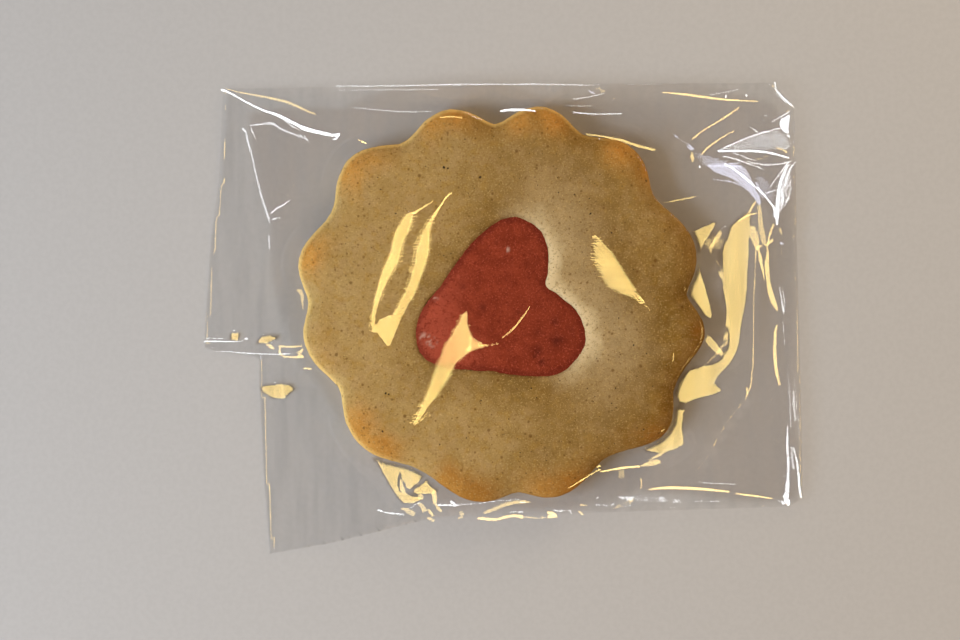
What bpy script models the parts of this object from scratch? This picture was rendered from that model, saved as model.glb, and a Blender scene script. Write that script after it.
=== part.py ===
# A scalloped sable biscuit with a heart of raspberry dough baked into it, lying flat in a clear film bag.
# Metres, +Z up. X runs along the bag's long side. The origin is under the middle of the bag, on the surface.

import math

import bmesh
import bpy
import numpy as np

MM = 0.001

# Biscuit: thickness at the middle, drop of the face towards the rim, rounding of the shoulder and of the foot
BISCUIT_THICKNESS = 7.5
BISCUIT_RADIUS = 45.0
FACE_DROP = 0.5
SHOULDER_WIDTH = 5.0
SHOULDER_HEIGHT = 3.6
FOOT_WIDTH = 0.9
FOOT_HEIGHT = 1.3
BISCUIT_CENTRE = (-0.3, 3.5)

# Scallops, counter-clockwise from the right: angle in degrees and distance from the biscuit's centre
LOBES = (
    (16.5, 44.4), (49.5, 44.6), (78.0, 44.2), (106.0, 44.3), (136.5, 46.3), (167.5, 45.8),
    (192.5, 44.3), (224.0, 44.2), (262.0, 44.1), (287.5, 44.4), (321.5, 46.0), (351.5, 45.2),
)
# Each notch comes before the lobe of the same place in the list above
NOTCHES = (
    (2.7, 40.6), (35.0, 41.0), (64.5, 41.2), (92.5, 39.4), (121.5, 41.5), (152.0, 42.6),
    (180.0, 42.6), (208.0, 40.4), (243.0, 41.0), (275.0, 41.8), (303.0, 41.1), (334.0, 42.4),
)
LOBE_FULLNESS = 1.25
NOTCH_SOFTNESS = 0.16

# Heart: its outline's points from the cleft round to the left, from the biscuit's centre
HEART_POINTS = (
    (9.3, 3.8), (9.9, 7.2), (10.0, 11.1), (8.3, 15.5), (4.8, 18.2), (0.7, 18.4), (-3.7, 15.7),
    (-8.4, 10.8), (-13.3, 3.8), (-17.3, -1.5), (-18.7, -6.7), (-17.3, -11.5), (-12.5, -13.9),
    (-3.2, -14.8), (7.8, -15.9), (13.3, -14.8), (17.1, -11.0), (18.1, -7.0), (16.3, -2.1), (12.2, 1.6),
)
HEART_CROWN = 0.25
HEART_EDGE = 0.8
HEART_CAP = 0.12
HOLE_EDGE = 0.5
GAP = 0.3

# Soft hollows and swells of the biscuit's face: place from its centre, depth (up is positive), spread
FACE_RELIEF = (
    (23.5, 17.5, -0.30, 4.0), (20.5, 31.0, -0.25, 5.0), (-27.0, 13.0, 0.20, 8.0), (-21.0, -22.0, -0.22, 6.0),
    (4.0, -28.0, 0.20, 8.0), (31.0, -17.0, -0.25, 6.0), (-4.0, 30.0, 0.18, 8.0), (33.0, 3.0, 0.15, 7.0),
)

# Bag: corners from the biscuit's centre, clockwise from the top left, and how high the edge stands there
BAG_CORNERS = (
    (-61.7, 47.4, 2.6), (0.0, 48.3, 3.2), (59.9, 48.5, 2.6), (64.5, 43.2, 2.2), (65.2, 12.0, 1.2),
    (66.5, -43.2, 1.6), (63.0, -45.0, 1.6), (18.2, -46.3, 2.6), (-15.8, -47.6, 2.4), (-37.8, -53.1, 1.2),
    (-51.4, -55.5, 0.7), (-52.7, -38.9, 0.5), (-53.8, -18.0, 0.5), (-53.8, -10.1, 0.5), (-65.9, -10.1, 0.5),
    (-65.9, -7.2, 0.5), (-64.5, 13.8, 0.7), (-62.6, 27.2, 1.4),
)
BAG_EDGE_THICKNESS = 0.5
BAG_RIM_HEIGHT = 5.4
BAG_SLACK_SPAN = 30.0

# Folds that stand up from the bag: start, end, height and half width
BAG_FOLDS = (
    (-61.0, 46.8, -36.5, 36.0, 1.2, 2.2),  # from the top left corner
    (-55.5, 37.5, -51.5, 15.0, 0.8, 2.0),  # inside the left edge
    (62.0, 42.0, 44.0, 31.5, 3.0, 3.0),  # crumpled top right corner, upper fold
    (63.5, 33.0, 41.5, 33.0, 2.2, 2.6),  # crumpled top right corner, lower fold
    (54.0, 19.5, 52.5, -16.0, 1.6, 2.6),  # upright fold right of the biscuit
    (64.0, 27.0, 64.5, -42.0, 1.0, 2.0),  # folded right end
    (-65.0, -8.6, -46.0, -8.6, 0.5, 1.8),  # lapped seam at the left
    (60.0, -42.3, 31.0, -41.8, 0.7, 2.0),  # along the lower edge
)

# How finely the outlines and the faces are cut up
OUTLINE_STEPS = 144
SHOULDER_STEPS = 4
FACE_STEPS = 5
HEART_STEPS = 4
HEART_EDGE_STEPS = 2
CURVE_STEPS = 12
BAG_STEPS = 9
CLOSEST_CORNER_DEG = 1.2

DOUGH_COLOUR = (0.36, 0.21, 0.075, 1.0)
HEART_COLOUR = (0.27, 0.040, 0.022, 1.0)
FILM_COLOUR = (0.86, 0.87, 0.88, 1.0)


def clear_scene():
    for old in list(bpy.data.objects):
        bpy.data.objects.remove(old, do_unlink=True)


def make_material(name, colour, roughness, alpha=1.0):
    material = bpy.data.materials.new(name)
    material.use_nodes = True
    shader = material.node_tree.nodes["Principled BSDF"]
    shader.inputs["Base Color"].default_value = colour
    shader.inputs["Roughness"].default_value = roughness
    shader.inputs["Metallic"].default_value = 0.0
    shader.inputs["Alpha"].default_value = alpha
    return material


def scallop_radius(angle):
    """Distance from the biscuit's centre to its scalloped edge, at an angle in degrees."""
    for place, (lobe_angle, lobe_radius) in enumerate(LOBES):
        start_angle, start_radius = NOTCHES[place]
        end_angle, end_radius = NOTCHES[(place + 1) % len(NOTCHES)]
        width = (end_angle - start_angle) % 360
        along = ((angle - start_angle) % 360) / width
        if along > 1:
            continue
        peak = ((lobe_angle - start_angle) % 360) / width
        rise = lobe_radius - (start_radius + (end_radius - start_radius) * peak)
        swell = math.sin(math.pi * along ** (math.log(0.5) / math.log(peak))) ** LOBE_FULLNESS
        soft = math.hypot(swell, NOTCH_SOFTNESS) - NOTCH_SOFTNESS
        soft /= math.hypot(1, NOTCH_SOFTNESS) - NOTCH_SOFTNESS
        return start_radius + (end_radius - start_radius) * along + rise * soft
    raise ValueError(angle)


def smooth_loop(points, steps):
    """A closed Catmull-Rom curve through the points, with this many steps between two of them."""
    points = np.array(points, float)
    before = np.roll(points, 1, axis=0)
    after = np.roll(points, -1, axis=0)
    beyond = np.roll(points, -2, axis=0)
    curve = []
    for step in range(steps):
        t = step / steps
        curve.append(
            0.5
            * (
                2 * points
                + (after - before) * t
                + (2 * before - 5 * points + 4 * after - beyond) * t**2
                + (3 * points - before - 3 * after + beyond) * t**3
            )
        )
    return np.stack(curve, axis=1).reshape(-1, 2)


def radii_of_loop(loop, angles):
    """Distance from the centre to a loop drawn round it, at each of these angles in radians."""
    loop_angles = np.arctan2(loop[:, 1], loop[:, 0]) % math.tau
    order = np.argsort(loop_angles)
    return np.interp(angles, loop_angles[order], np.hypot(*loop[order].T), period=math.tau)


def polygon_radii(corners, angles):
    """Distance from the centre to the straight sides between corners, and the edge height there."""
    corners = np.array(corners, float)
    radii = []
    heights = []
    for angle in angles:
        direction = np.array((math.cos(angle), math.sin(angle)))
        best = None
        for start, end in zip(corners, np.roll(corners, -1, axis=0)):
            side = end[:2] - start[:2]
            across = direction[0] * side[1] - direction[1] * side[0]
            if abs(across) < 1e-9:
                continue
            distance = (start[0] * side[1] - start[1] * side[0]) / across
            along = (start[0] * direction[1] - start[1] * direction[0]) / across
            if distance > 0 and -1e-6 <= along <= 1 + 1e-6 and (best is None or distance < best[0]):
                best = (distance, start[2] + (end[2] - start[2]) * along)
        radii.append(best[0])
        heights.append(best[1])
    return np.array(radii), np.array(heights)


def offset_radii(angles, radii, distance):
    """The outline moved outwards by a distance measured square to it; inwards when negative."""
    wide_angles = np.concatenate([[angles[-1] - math.tau], angles, [angles[0] + math.tau]])
    wide_radii = np.concatenate([[radii[-1]], radii, [radii[0]]])
    slope = np.gradient(wide_radii, wide_angles)[1:-1]
    return radii + distance * np.hypot(radii, slope) / radii


def ring(angles, radii, heights):
    """Points of one level of a loft, round the biscuit's centre."""
    heights = np.broadcast_to(heights, np.shape(radii))
    return np.stack([radii * np.cos(angles), radii * np.sin(angles), heights], axis=1)


def face_height(points):
    """Height of the biscuit's upper face over its underside."""
    distance = np.hypot(points[:, 0], points[:, 1]) / BISCUIT_RADIUS
    height = BISCUIT_THICKNESS - FACE_DROP * distance**2
    for x, y, depth, spread in FACE_RELIEF:
        away = np.hypot(points[:, 0] - x, points[:, 1] - y)
        height = height + depth * np.exp(-(away**2) / (2 * spread**2))
    return height


def on_face(angles, radii, lift=0.0):
    points = ring(angles, radii, 0.0)
    points[:, 2] = face_height(points) + lift
    return points


def rounded(angles, outline, width, height, steps):
    """Levels of a quarter-round edge, from the outline up to where it meets the face."""
    levels = []
    for step in range(steps + 1):
        turn = 0.5 * math.pi * step / steps
        radii = offset_radii(angles, outline, -width * (1 - math.cos(turn)))
        levels.append(on_face(angles, radii, -height * (1 - math.sin(turn))))
    return levels


def loft(bm, levels, closed=False):
    """Quads between neighbouring levels, and between the last and the first when closed."""
    loops = [[bm.verts.new(point * MM) for point in level] for level in levels]
    pairs = list(zip(loops, loops[1:] + loops[:1])) if closed else list(zip(loops, loops[1:]))
    for lower, upper in pairs:
        for place in range(len(lower)):
            after = (place + 1) % len(lower)
            bm.faces.new((lower[place], lower[after], upper[after], upper[place]))
    return loops


def add_solid(name, bm, material, collection):
    bmesh.ops.recalc_face_normals(bm, faces=bm.faces)
    mesh = bpy.data.meshes.new(name)
    bm.to_mesh(mesh)
    bm.free()
    mesh.materials.append(material)
    mesh.shade_smooth()
    mesh.set_sharp_from_angle(angle=math.radians(40))
    solid = bpy.data.objects.new(name, mesh)
    solid.location = (BISCUIT_CENTRE[0] * MM, BISCUIT_CENTRE[1] * MM, 0.0)
    collection.objects.link(solid)
    return solid


def even_angles():
    return np.arange(OUTLINE_STEPS) * math.tau / OUTLINE_STEPS


def scallop_radii(angles):
    return np.array([scallop_radius(math.degrees(angle)) for angle in angles])


def make_plain_dough(collection):
    """The scalloped round, with the heart's place cut right through it."""
    angles = even_angles()
    outline = scallop_radii(angles)
    hole = offset_radii(angles, radii_of_loop(smooth_loop(HEART_POINTS, CURVE_STEPS), angles), GAP)
    foot = offset_radii(angles, outline, -FOOT_WIDTH)
    levels = [ring(angles, hole, 0.0), ring(angles, foot, 0.0)]
    levels.append(ring(angles, offset_radii(angles, outline, -0.25 * FOOT_WIDTH), 0.45 * FOOT_HEIGHT))
    levels.append(ring(angles, outline, FOOT_HEIGHT))
    shoulder = rounded(angles, outline, SHOULDER_WIDTH, SHOULDER_HEIGHT, SHOULDER_STEPS)
    levels += shoulder
    inner = offset_radii(angles, hole, HOLE_EDGE)
    outer = np.hypot(*shoulder[-1][:, :2].T)
    for step in range(1, FACE_STEPS):
        levels.append(on_face(angles, outer + (inner - outer) * step / FACE_STEPS))
    levels.append(on_face(angles, inner))
    levels.append(on_face(angles, offset_radii(angles, hole, 0.3 * HOLE_EDGE), -0.3 * HOLE_EDGE))
    levels.append(on_face(angles, hole, -HOLE_EDGE))
    bm = bmesh.new()
    loft(bm, levels, closed=True)
    return add_solid("plain_dough", bm, make_material("plain_dough", DOUGH_COLOUR, 0.75), collection)


def make_heart(collection):
    """The raspberry dough heart, as thick as the biscuit, its face slightly crowned."""
    angles = even_angles()
    outline = radii_of_loop(smooth_loop(HEART_POINTS, CURVE_STEPS), angles)
    levels = [ring(angles, outline, 0.0)]
    edge = rounded(angles, outline, HEART_EDGE, HEART_EDGE, HEART_EDGE_STEPS)
    levels += edge
    inner = np.hypot(*edge[-1][:, :2].T)
    for step in range(1, HEART_STEPS + 1):
        share = 1 - step * (1 - HEART_CAP) / HEART_STEPS
        levels.append(on_face(angles, inner * share, HEART_CROWN * (1 - share**2)))
    bm = bmesh.new()
    loops = loft(bm, levels)
    bm.faces.new(loops[0])
    bm.faces.new(loops[-1])
    return add_solid("raspberry_heart", bm, make_material("raspberry_heart", HEART_COLOUR, 0.7), collection)


def bag_angles():
    """Even steps, with the bag's corners put in exactly."""
    corners = [math.atan2(y, x) % math.tau for x, y, _ in BAG_CORNERS]
    closest = math.radians(CLOSEST_CORNER_DEG)

    def clear_of_corners(angle):
        return all(abs((angle - corner + math.pi) % math.tau - math.pi) > closest for corner in corners)

    return np.array(sorted(corners + [angle for angle in even_angles() if clear_of_corners(angle)]))


def fold_height(points):
    """How far the folds lift the bag at these points."""
    lift = np.zeros(len(points))
    for x0, y0, x1, y1, height, width in BAG_FOLDS:
        start = np.array((x0, y0))
        run = np.array((x1, y1)) - start
        along = np.clip((points[:, :2] - start) @ run / (run @ run), 0, 1)
        away = np.linalg.norm(points[:, :2] - start - along[:, None] * run, axis=1)
        lift = np.maximum(lift, height * np.clip(1 - away / width, 0, 1))
    return lift


def make_bag(collection):
    """The film bag round the biscuit: its upper side slopes from the biscuit's shoulder to the bag's edge."""
    angles = bag_angles()
    rim = offset_radii(angles, scallop_radii(angles), GAP)
    edge, edge_height = polygon_radii(BAG_CORNERS, angles)
    span = edge - rim
    upper = []
    lower = []
    for step in range(BAG_STEPS + 1):
        share = step / BAG_STEPS
        radii = rim + span * share
        steepness = 1 + np.clip(span / BAG_SLACK_SPAN, 0, 1)
        top = edge_height + (BAG_RIM_HEIGHT - edge_height) * (1 - share) ** steepness
        points = ring(angles, radii, top)
        fade = math.sqrt(4 * share * (1 - share))  # folds die out at the biscuit and at the edge
        points[:, 2] += fold_height(points) * fade
        upper.append(points)
    for share in (1.0, 0.5, 0.0):
        bottom = (edge_height - BAG_EDGE_THICKNESS) * share**2
        lower.append(ring(angles, rim + span * share, bottom))
    bm = bmesh.new()
    loft(bm, upper + lower, closed=True)
    return add_solid("film_bag", bm, make_material("film_bag", FILM_COLOUR, 0.1, alpha=0.35), collection)


def main():
    clear_scene()
    collection = bpy.data.collections.new("raspberry_sable_biscuit")
    bpy.context.scene.collection.children.link(collection)
    make_plain_dough(collection)
    make_heart(collection)
    make_bag(collection)


main()
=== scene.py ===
# A scalloped sable biscuit with a raspberry dough heart, shut in a clear film bag, seen from straight above.
import math
import random

import bmesh
import bpy
import numpy as np
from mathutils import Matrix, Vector, noise
from mathutils.bvhtree import BVHTree


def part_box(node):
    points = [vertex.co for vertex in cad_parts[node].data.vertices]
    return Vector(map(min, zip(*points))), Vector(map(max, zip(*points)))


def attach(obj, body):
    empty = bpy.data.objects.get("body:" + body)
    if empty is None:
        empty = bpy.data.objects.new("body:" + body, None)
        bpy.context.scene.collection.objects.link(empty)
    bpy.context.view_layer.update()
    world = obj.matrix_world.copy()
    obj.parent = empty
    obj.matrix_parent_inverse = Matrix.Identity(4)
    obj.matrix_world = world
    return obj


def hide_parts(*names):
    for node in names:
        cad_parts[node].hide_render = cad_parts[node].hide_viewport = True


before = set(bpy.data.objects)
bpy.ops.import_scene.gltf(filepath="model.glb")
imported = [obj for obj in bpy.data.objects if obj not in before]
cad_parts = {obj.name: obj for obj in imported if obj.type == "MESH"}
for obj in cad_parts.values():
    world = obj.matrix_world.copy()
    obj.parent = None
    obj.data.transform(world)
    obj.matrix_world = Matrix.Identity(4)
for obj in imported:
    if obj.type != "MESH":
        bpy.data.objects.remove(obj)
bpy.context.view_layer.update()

mm = 0.001
bagLow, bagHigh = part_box("film_bag")

# Where a pixel of the photograph lies on the object
photo = {
    "width": 960,
    "mmPerPixel": 0.2195,
    "bagLeft": 201.8,  # pixel column of the bag's left end
    "bagTop": 82.05,  # pixel row of its upper edge
    "biscuitMiddle": (502, 303),
    "middle": (480, 320),
}
# The form that both doughs share, in mm
biscuit = {
    "crown": 7.5,  # how high its face stands in the middle
    "fall": 0.5,  # how much lower it stands at the rim
    "radius": 45,
    "foot": (0.3, 1.2),  # heights between which the relief fades out, so that the underside stays flat
    "facing": (0.1, 0.8),  # how far up the skin faces, from its side walls to its face
    "seam": 0.17,  # how far each dough closes the gap between them, under its lip
    "seamAt": 0.15,  # where the middle of that gap lies, outside the heart's outline
    "seamReach": (1.0, 0.3),  # how far from it the skin still moves, and where it moves fully
    "wobble": ((2.6, 0.20), (1.0, 0.14)),  # wave length and height of the line's wander
    "wobbleReach": 1.1,
    "groove": 0.20,  # how deep the line between both doughs is
    "lips": (1.1, 1.4),  # how wide and how deep the dough has run together there
}
seedSteps = (17.3, 5.1, 9.7)  # how far the noise of one seed lies from the next
rayStart = 0.05  # m above the floor, where the rays that look for the dough begin


def atPixel(column, row):
    step = photo["mmPerPixel"] * mm
    return bagLow.x + (column - photo["bagLeft"]) * step, bagHigh.y - (row - photo["bagTop"]) * step


centre = np.array(atPixel(*photo["biscuitMiddle"]))


def fromCentre(points):
    # angle and distance from the biscuit's centre, in radians and mm
    away = np.asarray(points)[:, :2] - centre
    return np.arctan2(away[:, 1], away[:, 0]), np.hypot(away[:, 0], away[:, 1]) / mm


def fromPixel(points, column, row):
    # distance from the place of a pixel, in mm
    x, y = atPixel(column, row)
    return np.hypot(points[:, 0] - x, points[:, 1] - y) / mm


def faceHeight(radii):
    return biscuit["crown"] - biscuit["fall"] * (radii / biscuit["radius"]) ** 2


def reachOf(nodeName, rimDepth=0.05, window=0.06, innerWall=0.9):
    # the node's outline: its farthest point at each angle, with the lowest and highest point there
    points = np.array([v.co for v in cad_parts[nodeName].data.vertices])
    angles, radii = fromCentre(points)
    places = {}
    for angle, radius, point in zip(angles, radii, points):
        places.setdefault(round(angle, 3), []).append((radius, point[2] / mm))
    rows = []
    for angle in sorted(places):
        far = max(radius for radius, height in places[angle])
        heights = [height for radius, height in places[angle] if radius > far - rimDepth]
        rows.append((angle, far, min(heights), max(heights)))
    rows = np.array(rows)
    apart = np.abs(np.angle(np.exp(1j * (rows[:, :1] - rows[:, 0]))))
    reach = np.where(apart < window, rows[:, 1], 0).max(axis=1)
    return rows[rows[:, 1] > innerWall * reach].T


def along(outline, angles, row=1):
    return np.interp(angles, outline[0], outline[row], period=math.tau)


doughEdge = reachOf("plain_dough")
heartEdge = reachOf("raspberry_heart")
bagEdge = reachOf("film_bag")


def smoothStep(value, low, high):
    t = np.clip((value - low) / (high - low), 0, 1)
    return t * t * (3 - 2 * t)


def ripple(points, size, seed):
    # soft noise from -1 to 1 whose waves are about this many mm long
    shift = Vector([seed * step for step in seedSteps])
    return np.array([noise.noise(Vector(p) / (size * mm) + shift) for p in points])


def waves(points, sizes, firstSeed):
    # several ripples added up, each with its own wave length and height
    return sum(height * ripple(points, size, seed) for seed, (size, height) in enumerate(sizes, firstSeed))


def flattened(points):
    return np.column_stack([points[:, :2], np.zeros(len(points))])


def readMesh(mesh, what):
    flat = np.empty(len(mesh.vertices) * 3, np.float32)
    mesh.vertices.foreach_get(what, flat)
    return flat.reshape(-1, 3).astype(float)


def paint(mesh, name, values):
    layer = mesh.attributes.new(name, "FLOAT", "POINT")
    layer.data.foreach_set("value", np.asarray(values, np.float32))


def meshOf(bm, name):
    mesh = bpy.data.meshes.new(name)
    bm.to_mesh(mesh)
    bm.free()
    return mesh


def addObject(name, data):
    made = bpy.data.objects.new(name, data)
    bpy.context.scene.collection.objects.link(made)
    return made


def addPiece(name, mesh, material, replaced=()):
    piece = addObject(name, mesh)
    mesh.materials.clear()
    mesh.materials.append(material)
    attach(piece, "root")
    if replaced:
        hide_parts(*replaced)
    return piece


def remeshed(nodeName, voxel):
    # the CAD solid again as an even, fine skin
    bm = bmesh.new()
    bm.from_mesh(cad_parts[nodeName].data)
    bmesh.ops.remove_doubles(bm, verts=bm.verts, dist=1e-6)
    helper = addObject("helper", meshOf(bm, nodeName + "_fine"))
    voxels = helper.modifiers.new("Remesh", "REMESH")
    voxels.mode = "VOXEL"
    voxels.voxel_size = voxel * mm
    fine = bpy.data.meshes.new_from_object(helper.evaluated_get(bpy.context.evaluated_depsgraph_get()))
    bpy.data.objects.remove(helper)
    fine.shade_smooth()
    return fine


def closeSeam(points, tight):
    # both doughs meet below the groove, as they are baked together, on a line that wanders a little
    angles, radii = fromCentre(points)
    gap = radii - along(heartEdge, angles)
    near = smoothStep(np.abs(gap - biscuit["seamAt"]), *biscuit["seamReach"]) * (points[:, 2] / mm > 0.2)
    wander = waves(flattened(points), biscuit["wobble"], 61) * np.exp(-((gap / biscuit["wobbleReach"]) ** 2))
    factor = (near * tight + wander) / np.maximum(radii, 1e-6)
    points[:, :2] += (points[:, :2] - centre) * factor[:, None]


def fillGroove(points):
    # the lips of both doughs have run together, so the line between them is shallow
    angles, radii = fromCentre(points)
    gap = np.abs(radii - along(heartEdge, angles) - biscuit["seamAt"])
    surface = faceHeight(radii)
    fall = surface - points[:, 2] / mm
    depth = biscuit["groove"] * (1 + 0.9 * ripple(flattened(points), 2.0, 63))
    wide, deep = biscuit["lips"]
    lip = (gap < wide) & (fall > 0) & (fall < deep)
    points[lip, 2] = (surface - depth * (1 - np.exp(-fall / depth)))[lip] * mm


def startRelief(mesh):
    # the skin's points and normals, and 1 where it faces up, 0 on its side walls
    points = readMesh(mesh, "co")
    fillGroove(points)
    up = readMesh(mesh, "normal")
    return points, up, smoothStep(up[:, 2], *biscuit["facing"])


def hollow(points, column, row, width):
    return np.exp(-((fromPixel(points, column, row) / width) ** 2))


def endRelief(mesh, points, up, rise, tight):
    # the skin moves out along its normals, and in to the seam
    points += up * (rise * smoothStep(points[:, 2] / mm, *biscuit["foot"]) * mm)[:, None]
    closeSeam(points, tight)
    mesh.vertices.foreach_set("co", points.astype(np.float32).ravel())
    mesh.update()


# Small tools for writing shader trees
def newMaterial(name):
    material = bpy.data.materials.new(name)
    material.use_nodes = True
    return material, material.node_tree


def feed(tree, socket, value):
    # a socket takes a link or a plain value
    if isinstance(value, bpy.types.NodeSocket):
        tree.links.new(value, socket)
    else:
        socket.default_value = value


def node(tree, kind, settings=None, **sockets):
    made = tree.nodes.new(kind)
    for key, value in (settings or {}).items():
        setattr(made, key, value)
    for key, value in sockets.items():
        feed(tree, made.inputs[key.replace("_", " ")], value)
    return made


def placeIn(tree):
    return node(tree, "ShaderNodeTexCoord").outputs["Object"]


def noiseOf(tree, place, scale, detail, roughness=0.55):
    sizes = {"Scale": scale, "Detail": detail, "Roughness": roughness}
    return node(tree, "ShaderNodeTexNoise", Vector=place, **sizes).outputs["Fac"]


def span(tree, value, low, high, toLow=0.0, toHigh=1.0):
    made = node(tree, "ShaderNodeMapRange", {"interpolation_type": "SMOOTHSTEP"}, Value=value)
    for socket, number in zip(("From Min", "From Max", "To Min", "To Max"), (low, high, toLow, toHigh)):
        made.inputs[socket].default_value = number
    return made.outputs["Result"]


def patchy(tree, place, scale, detail, low, high, roughness=0.55):
    # a mask of soft patches: the scale and detail of its noise, and where the noise starts and ends to count
    return span(tree, noiseOf(tree, place, scale, detail, roughness), low, high)


def mixed(tree, share, first, second):
    made = node(tree, "ShaderNodeMix", {"data_type": "RGBA"})
    for k, value in ((0, share), (6, first), (7, second)):
        feed(tree, made.inputs[k], value)
    return made.outputs[2]


def maths(tree, operation, first, second):
    made = node(tree, "ShaderNodeMath", {"operation": operation})
    feed(tree, made.inputs[0], first)
    feed(tree, made.inputs[1], second)
    return made.outputs[0]


def attribute(tree, name):
    return node(tree, "ShaderNodeAttribute", {"attribute_name": name}).outputs["Fac"]


def layered(tree, body, mask, strength, colour):
    # one more colour over the body, as strongly as the mask says
    return mixed(tree, maths(tree, "MULTIPLY", mask, strength), body, colour)


def painted(tree, body, tints, layers):
    # colours over the body where the skin is painted: the paint's name, its strength and the tint
    for name, strength, colour in layers:
        body = layered(tree, body, attribute(tree, name), strength, tints[colour])
    return body


def matte(tree, colour, roughness):
    shader = tree.nodes["Principled BSDF"]
    feed(tree, shader.inputs["Base Color"], colour)
    feed(tree, shader.inputs["Roughness"], roughness)
    return shader


def crumbly(tree, place, body, finish):
    # dry, with a fine grain in relief
    grain = noiseOf(tree, place, finish["grain"], 4, 0.7)
    shader = matte(tree, body, span(tree, grain, 0.3, 0.7, *finish["roughness"]))
    shader.inputs["Specular IOR Level"].default_value = finish["shine"]
    bump = node(tree, "ShaderNodeBump", Strength=0.8, Distance=finish["relief"] * mm, Height=grain)
    tree.links.new(bump.outputs["Normal"], shader.inputs["Normal"])


# Camera, lights and the floor
view = {
    "distance": 0.52,  # m from the biscuit's face
    "faceHeight": 5.0,  # mm, the height at which the scale holds
}


def makeCamera():
    data = bpy.data.cameras.new("camera")
    width = photo["width"] * photo["mmPerPixel"] * mm
    data.sensor_width = 36
    data.sensor_fit = "HORIZONTAL"
    data.lens = data.sensor_width * view["distance"] / width
    camera = addObject("camera", data)
    camera.location = (*atPixel(*photo["middle"]), view["distance"] + view["faceHeight"] * mm)
    bpy.context.scene.camera = camera
    print("camera set")


studio = {  # lamps that light the dough, and lamps that only show in the film
    "window": {"azimuth": 200, "elevation": 32, "distance": 0.8, "size": (0.5, 0.4),
               "power": 6.9, "colour": (0.765, 0.88, 1.0), "mirrored": False},
    "fill": {"azimuth": -105, "elevation": 45, "distance": 0.5, "size": (0.4, 0.3),
             "power": 0.62, "colour": (1.0, 0.76, 0.44), "mirrored": False},
    "warm": {"azimuth": -20, "elevation": 40, "distance": 0.50, "size": (0.2, 0.16),
             "power": 0.45, "colour": (1.0, 0.62, 0.24), "mirrored": False},
    "above": {"azimuth": 62, "elevation": 24, "distance": 0.45, "size": (0.2, 0.16),
              "power": 0.92, "colour": (1.0, 0.80, 0.52), "mirrored": False},
    "sun": {"azimuth": -15, "elevation": 67, "distance": 0.7, "size": (0.18, 0.15),
            "power": 1.45, "colour": (1.0, 0.725, 0.24), "mirrored": True},
    "pane": {"azimuth": 80, "elevation": 64, "distance": 0.8, "size": (0.09, 0.08),
             "power": 0.66, "colour": (0.90, 0.94, 1.0), "mirrored": True},
    "sky": {"azimuth": 35, "elevation": 62, "distance": 0.8, "size": (0.09, 0.08),
            "power": 0.28, "colour": (0.74, 0.78, 1.0), "mirrored": True},
}
# The room's own light: how bright its walls are and what is overhead, and the heights between
roomLight = {"colour": (0.94, 0.88, 0.79, 1), "walls": 0.26, "overhead": 0.05, "between": (0.55, 0.90)}


def lampPlace(name):
    light = studio[name]
    turn, rise = math.radians(light["azimuth"]), math.radians(light["elevation"])
    away = Vector((math.cos(turn) * math.cos(rise), math.sin(turn) * math.cos(rise), math.sin(rise)))
    return Vector((*centre, 0)) + away * light["distance"], away


def makeLights():
    for name, light in studio.items():
        data = bpy.data.lights.new(name, "AREA")
        data.shape = "RECTANGLE"
        data.size, data.size_y = light["size"]
        data.energy = light["power"]
        data.color = light["colour"]
        lamp = addObject(name, data)
        lamp.location, away = lampPlace(name)
        lamp.rotation_euler = away.to_track_quat("Z", "Y").to_euler()
        lamp.visible_glossy = light["mirrored"]
        lamp.visible_diffuse = not light["mirrored"]
    world = bpy.data.worlds.new("room")
    bpy.context.scene.world = world
    world.use_nodes = True
    tree = world.node_tree
    direction = node(tree, "ShaderNodeTexCoord").outputs["Generated"]
    height = node(tree, "ShaderNodeSeparateXYZ", Vector=direction).outputs["Z"]
    strength = span(tree, height, *roomLight["between"], roomLight["walls"], roomLight["overhead"])
    feed(tree, tree.nodes["Background"].inputs["Color"], roomLight["colour"])
    feed(tree, tree.nodes["Background"].inputs["Strength"], strength)
    bpy.context.scene.view_settings.view_transform = "Standard"
    print("lights set")


table = {
    "drop": 0.16,  # mm under the part, clear of it
    "size": 1.6,
    "colour": (0.50, 0.49, 0.50, 1),
    "fleck": 0.96,  # how dark its flecks are against it
    "grain": 900,
    "roughness": 0.7,
}


def makeFloor():
    bm = bmesh.new()
    bmesh.ops.create_grid(bm, x_segments=2, y_segments=2, size=table["size"] / 2)
    bmesh.ops.translate(bm, verts=bm.verts, vec=(*centre, -table["drop"] * mm))
    floor = addObject("floor", meshOf(bm, "floor"))
    material, tree = newMaterial("paleFloor")
    fleck = patchy(tree, placeIn(tree), table["grain"], 2, 0.3, 0.7)
    pale = table["colour"]
    darker = tuple(table["fleck"] * c for c in pale[:3]) + (1,)
    matte(tree, mixed(tree, fleck, pale, darker), table["roughness"])
    floor.data.materials.append(material)
    print("floor set")


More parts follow.
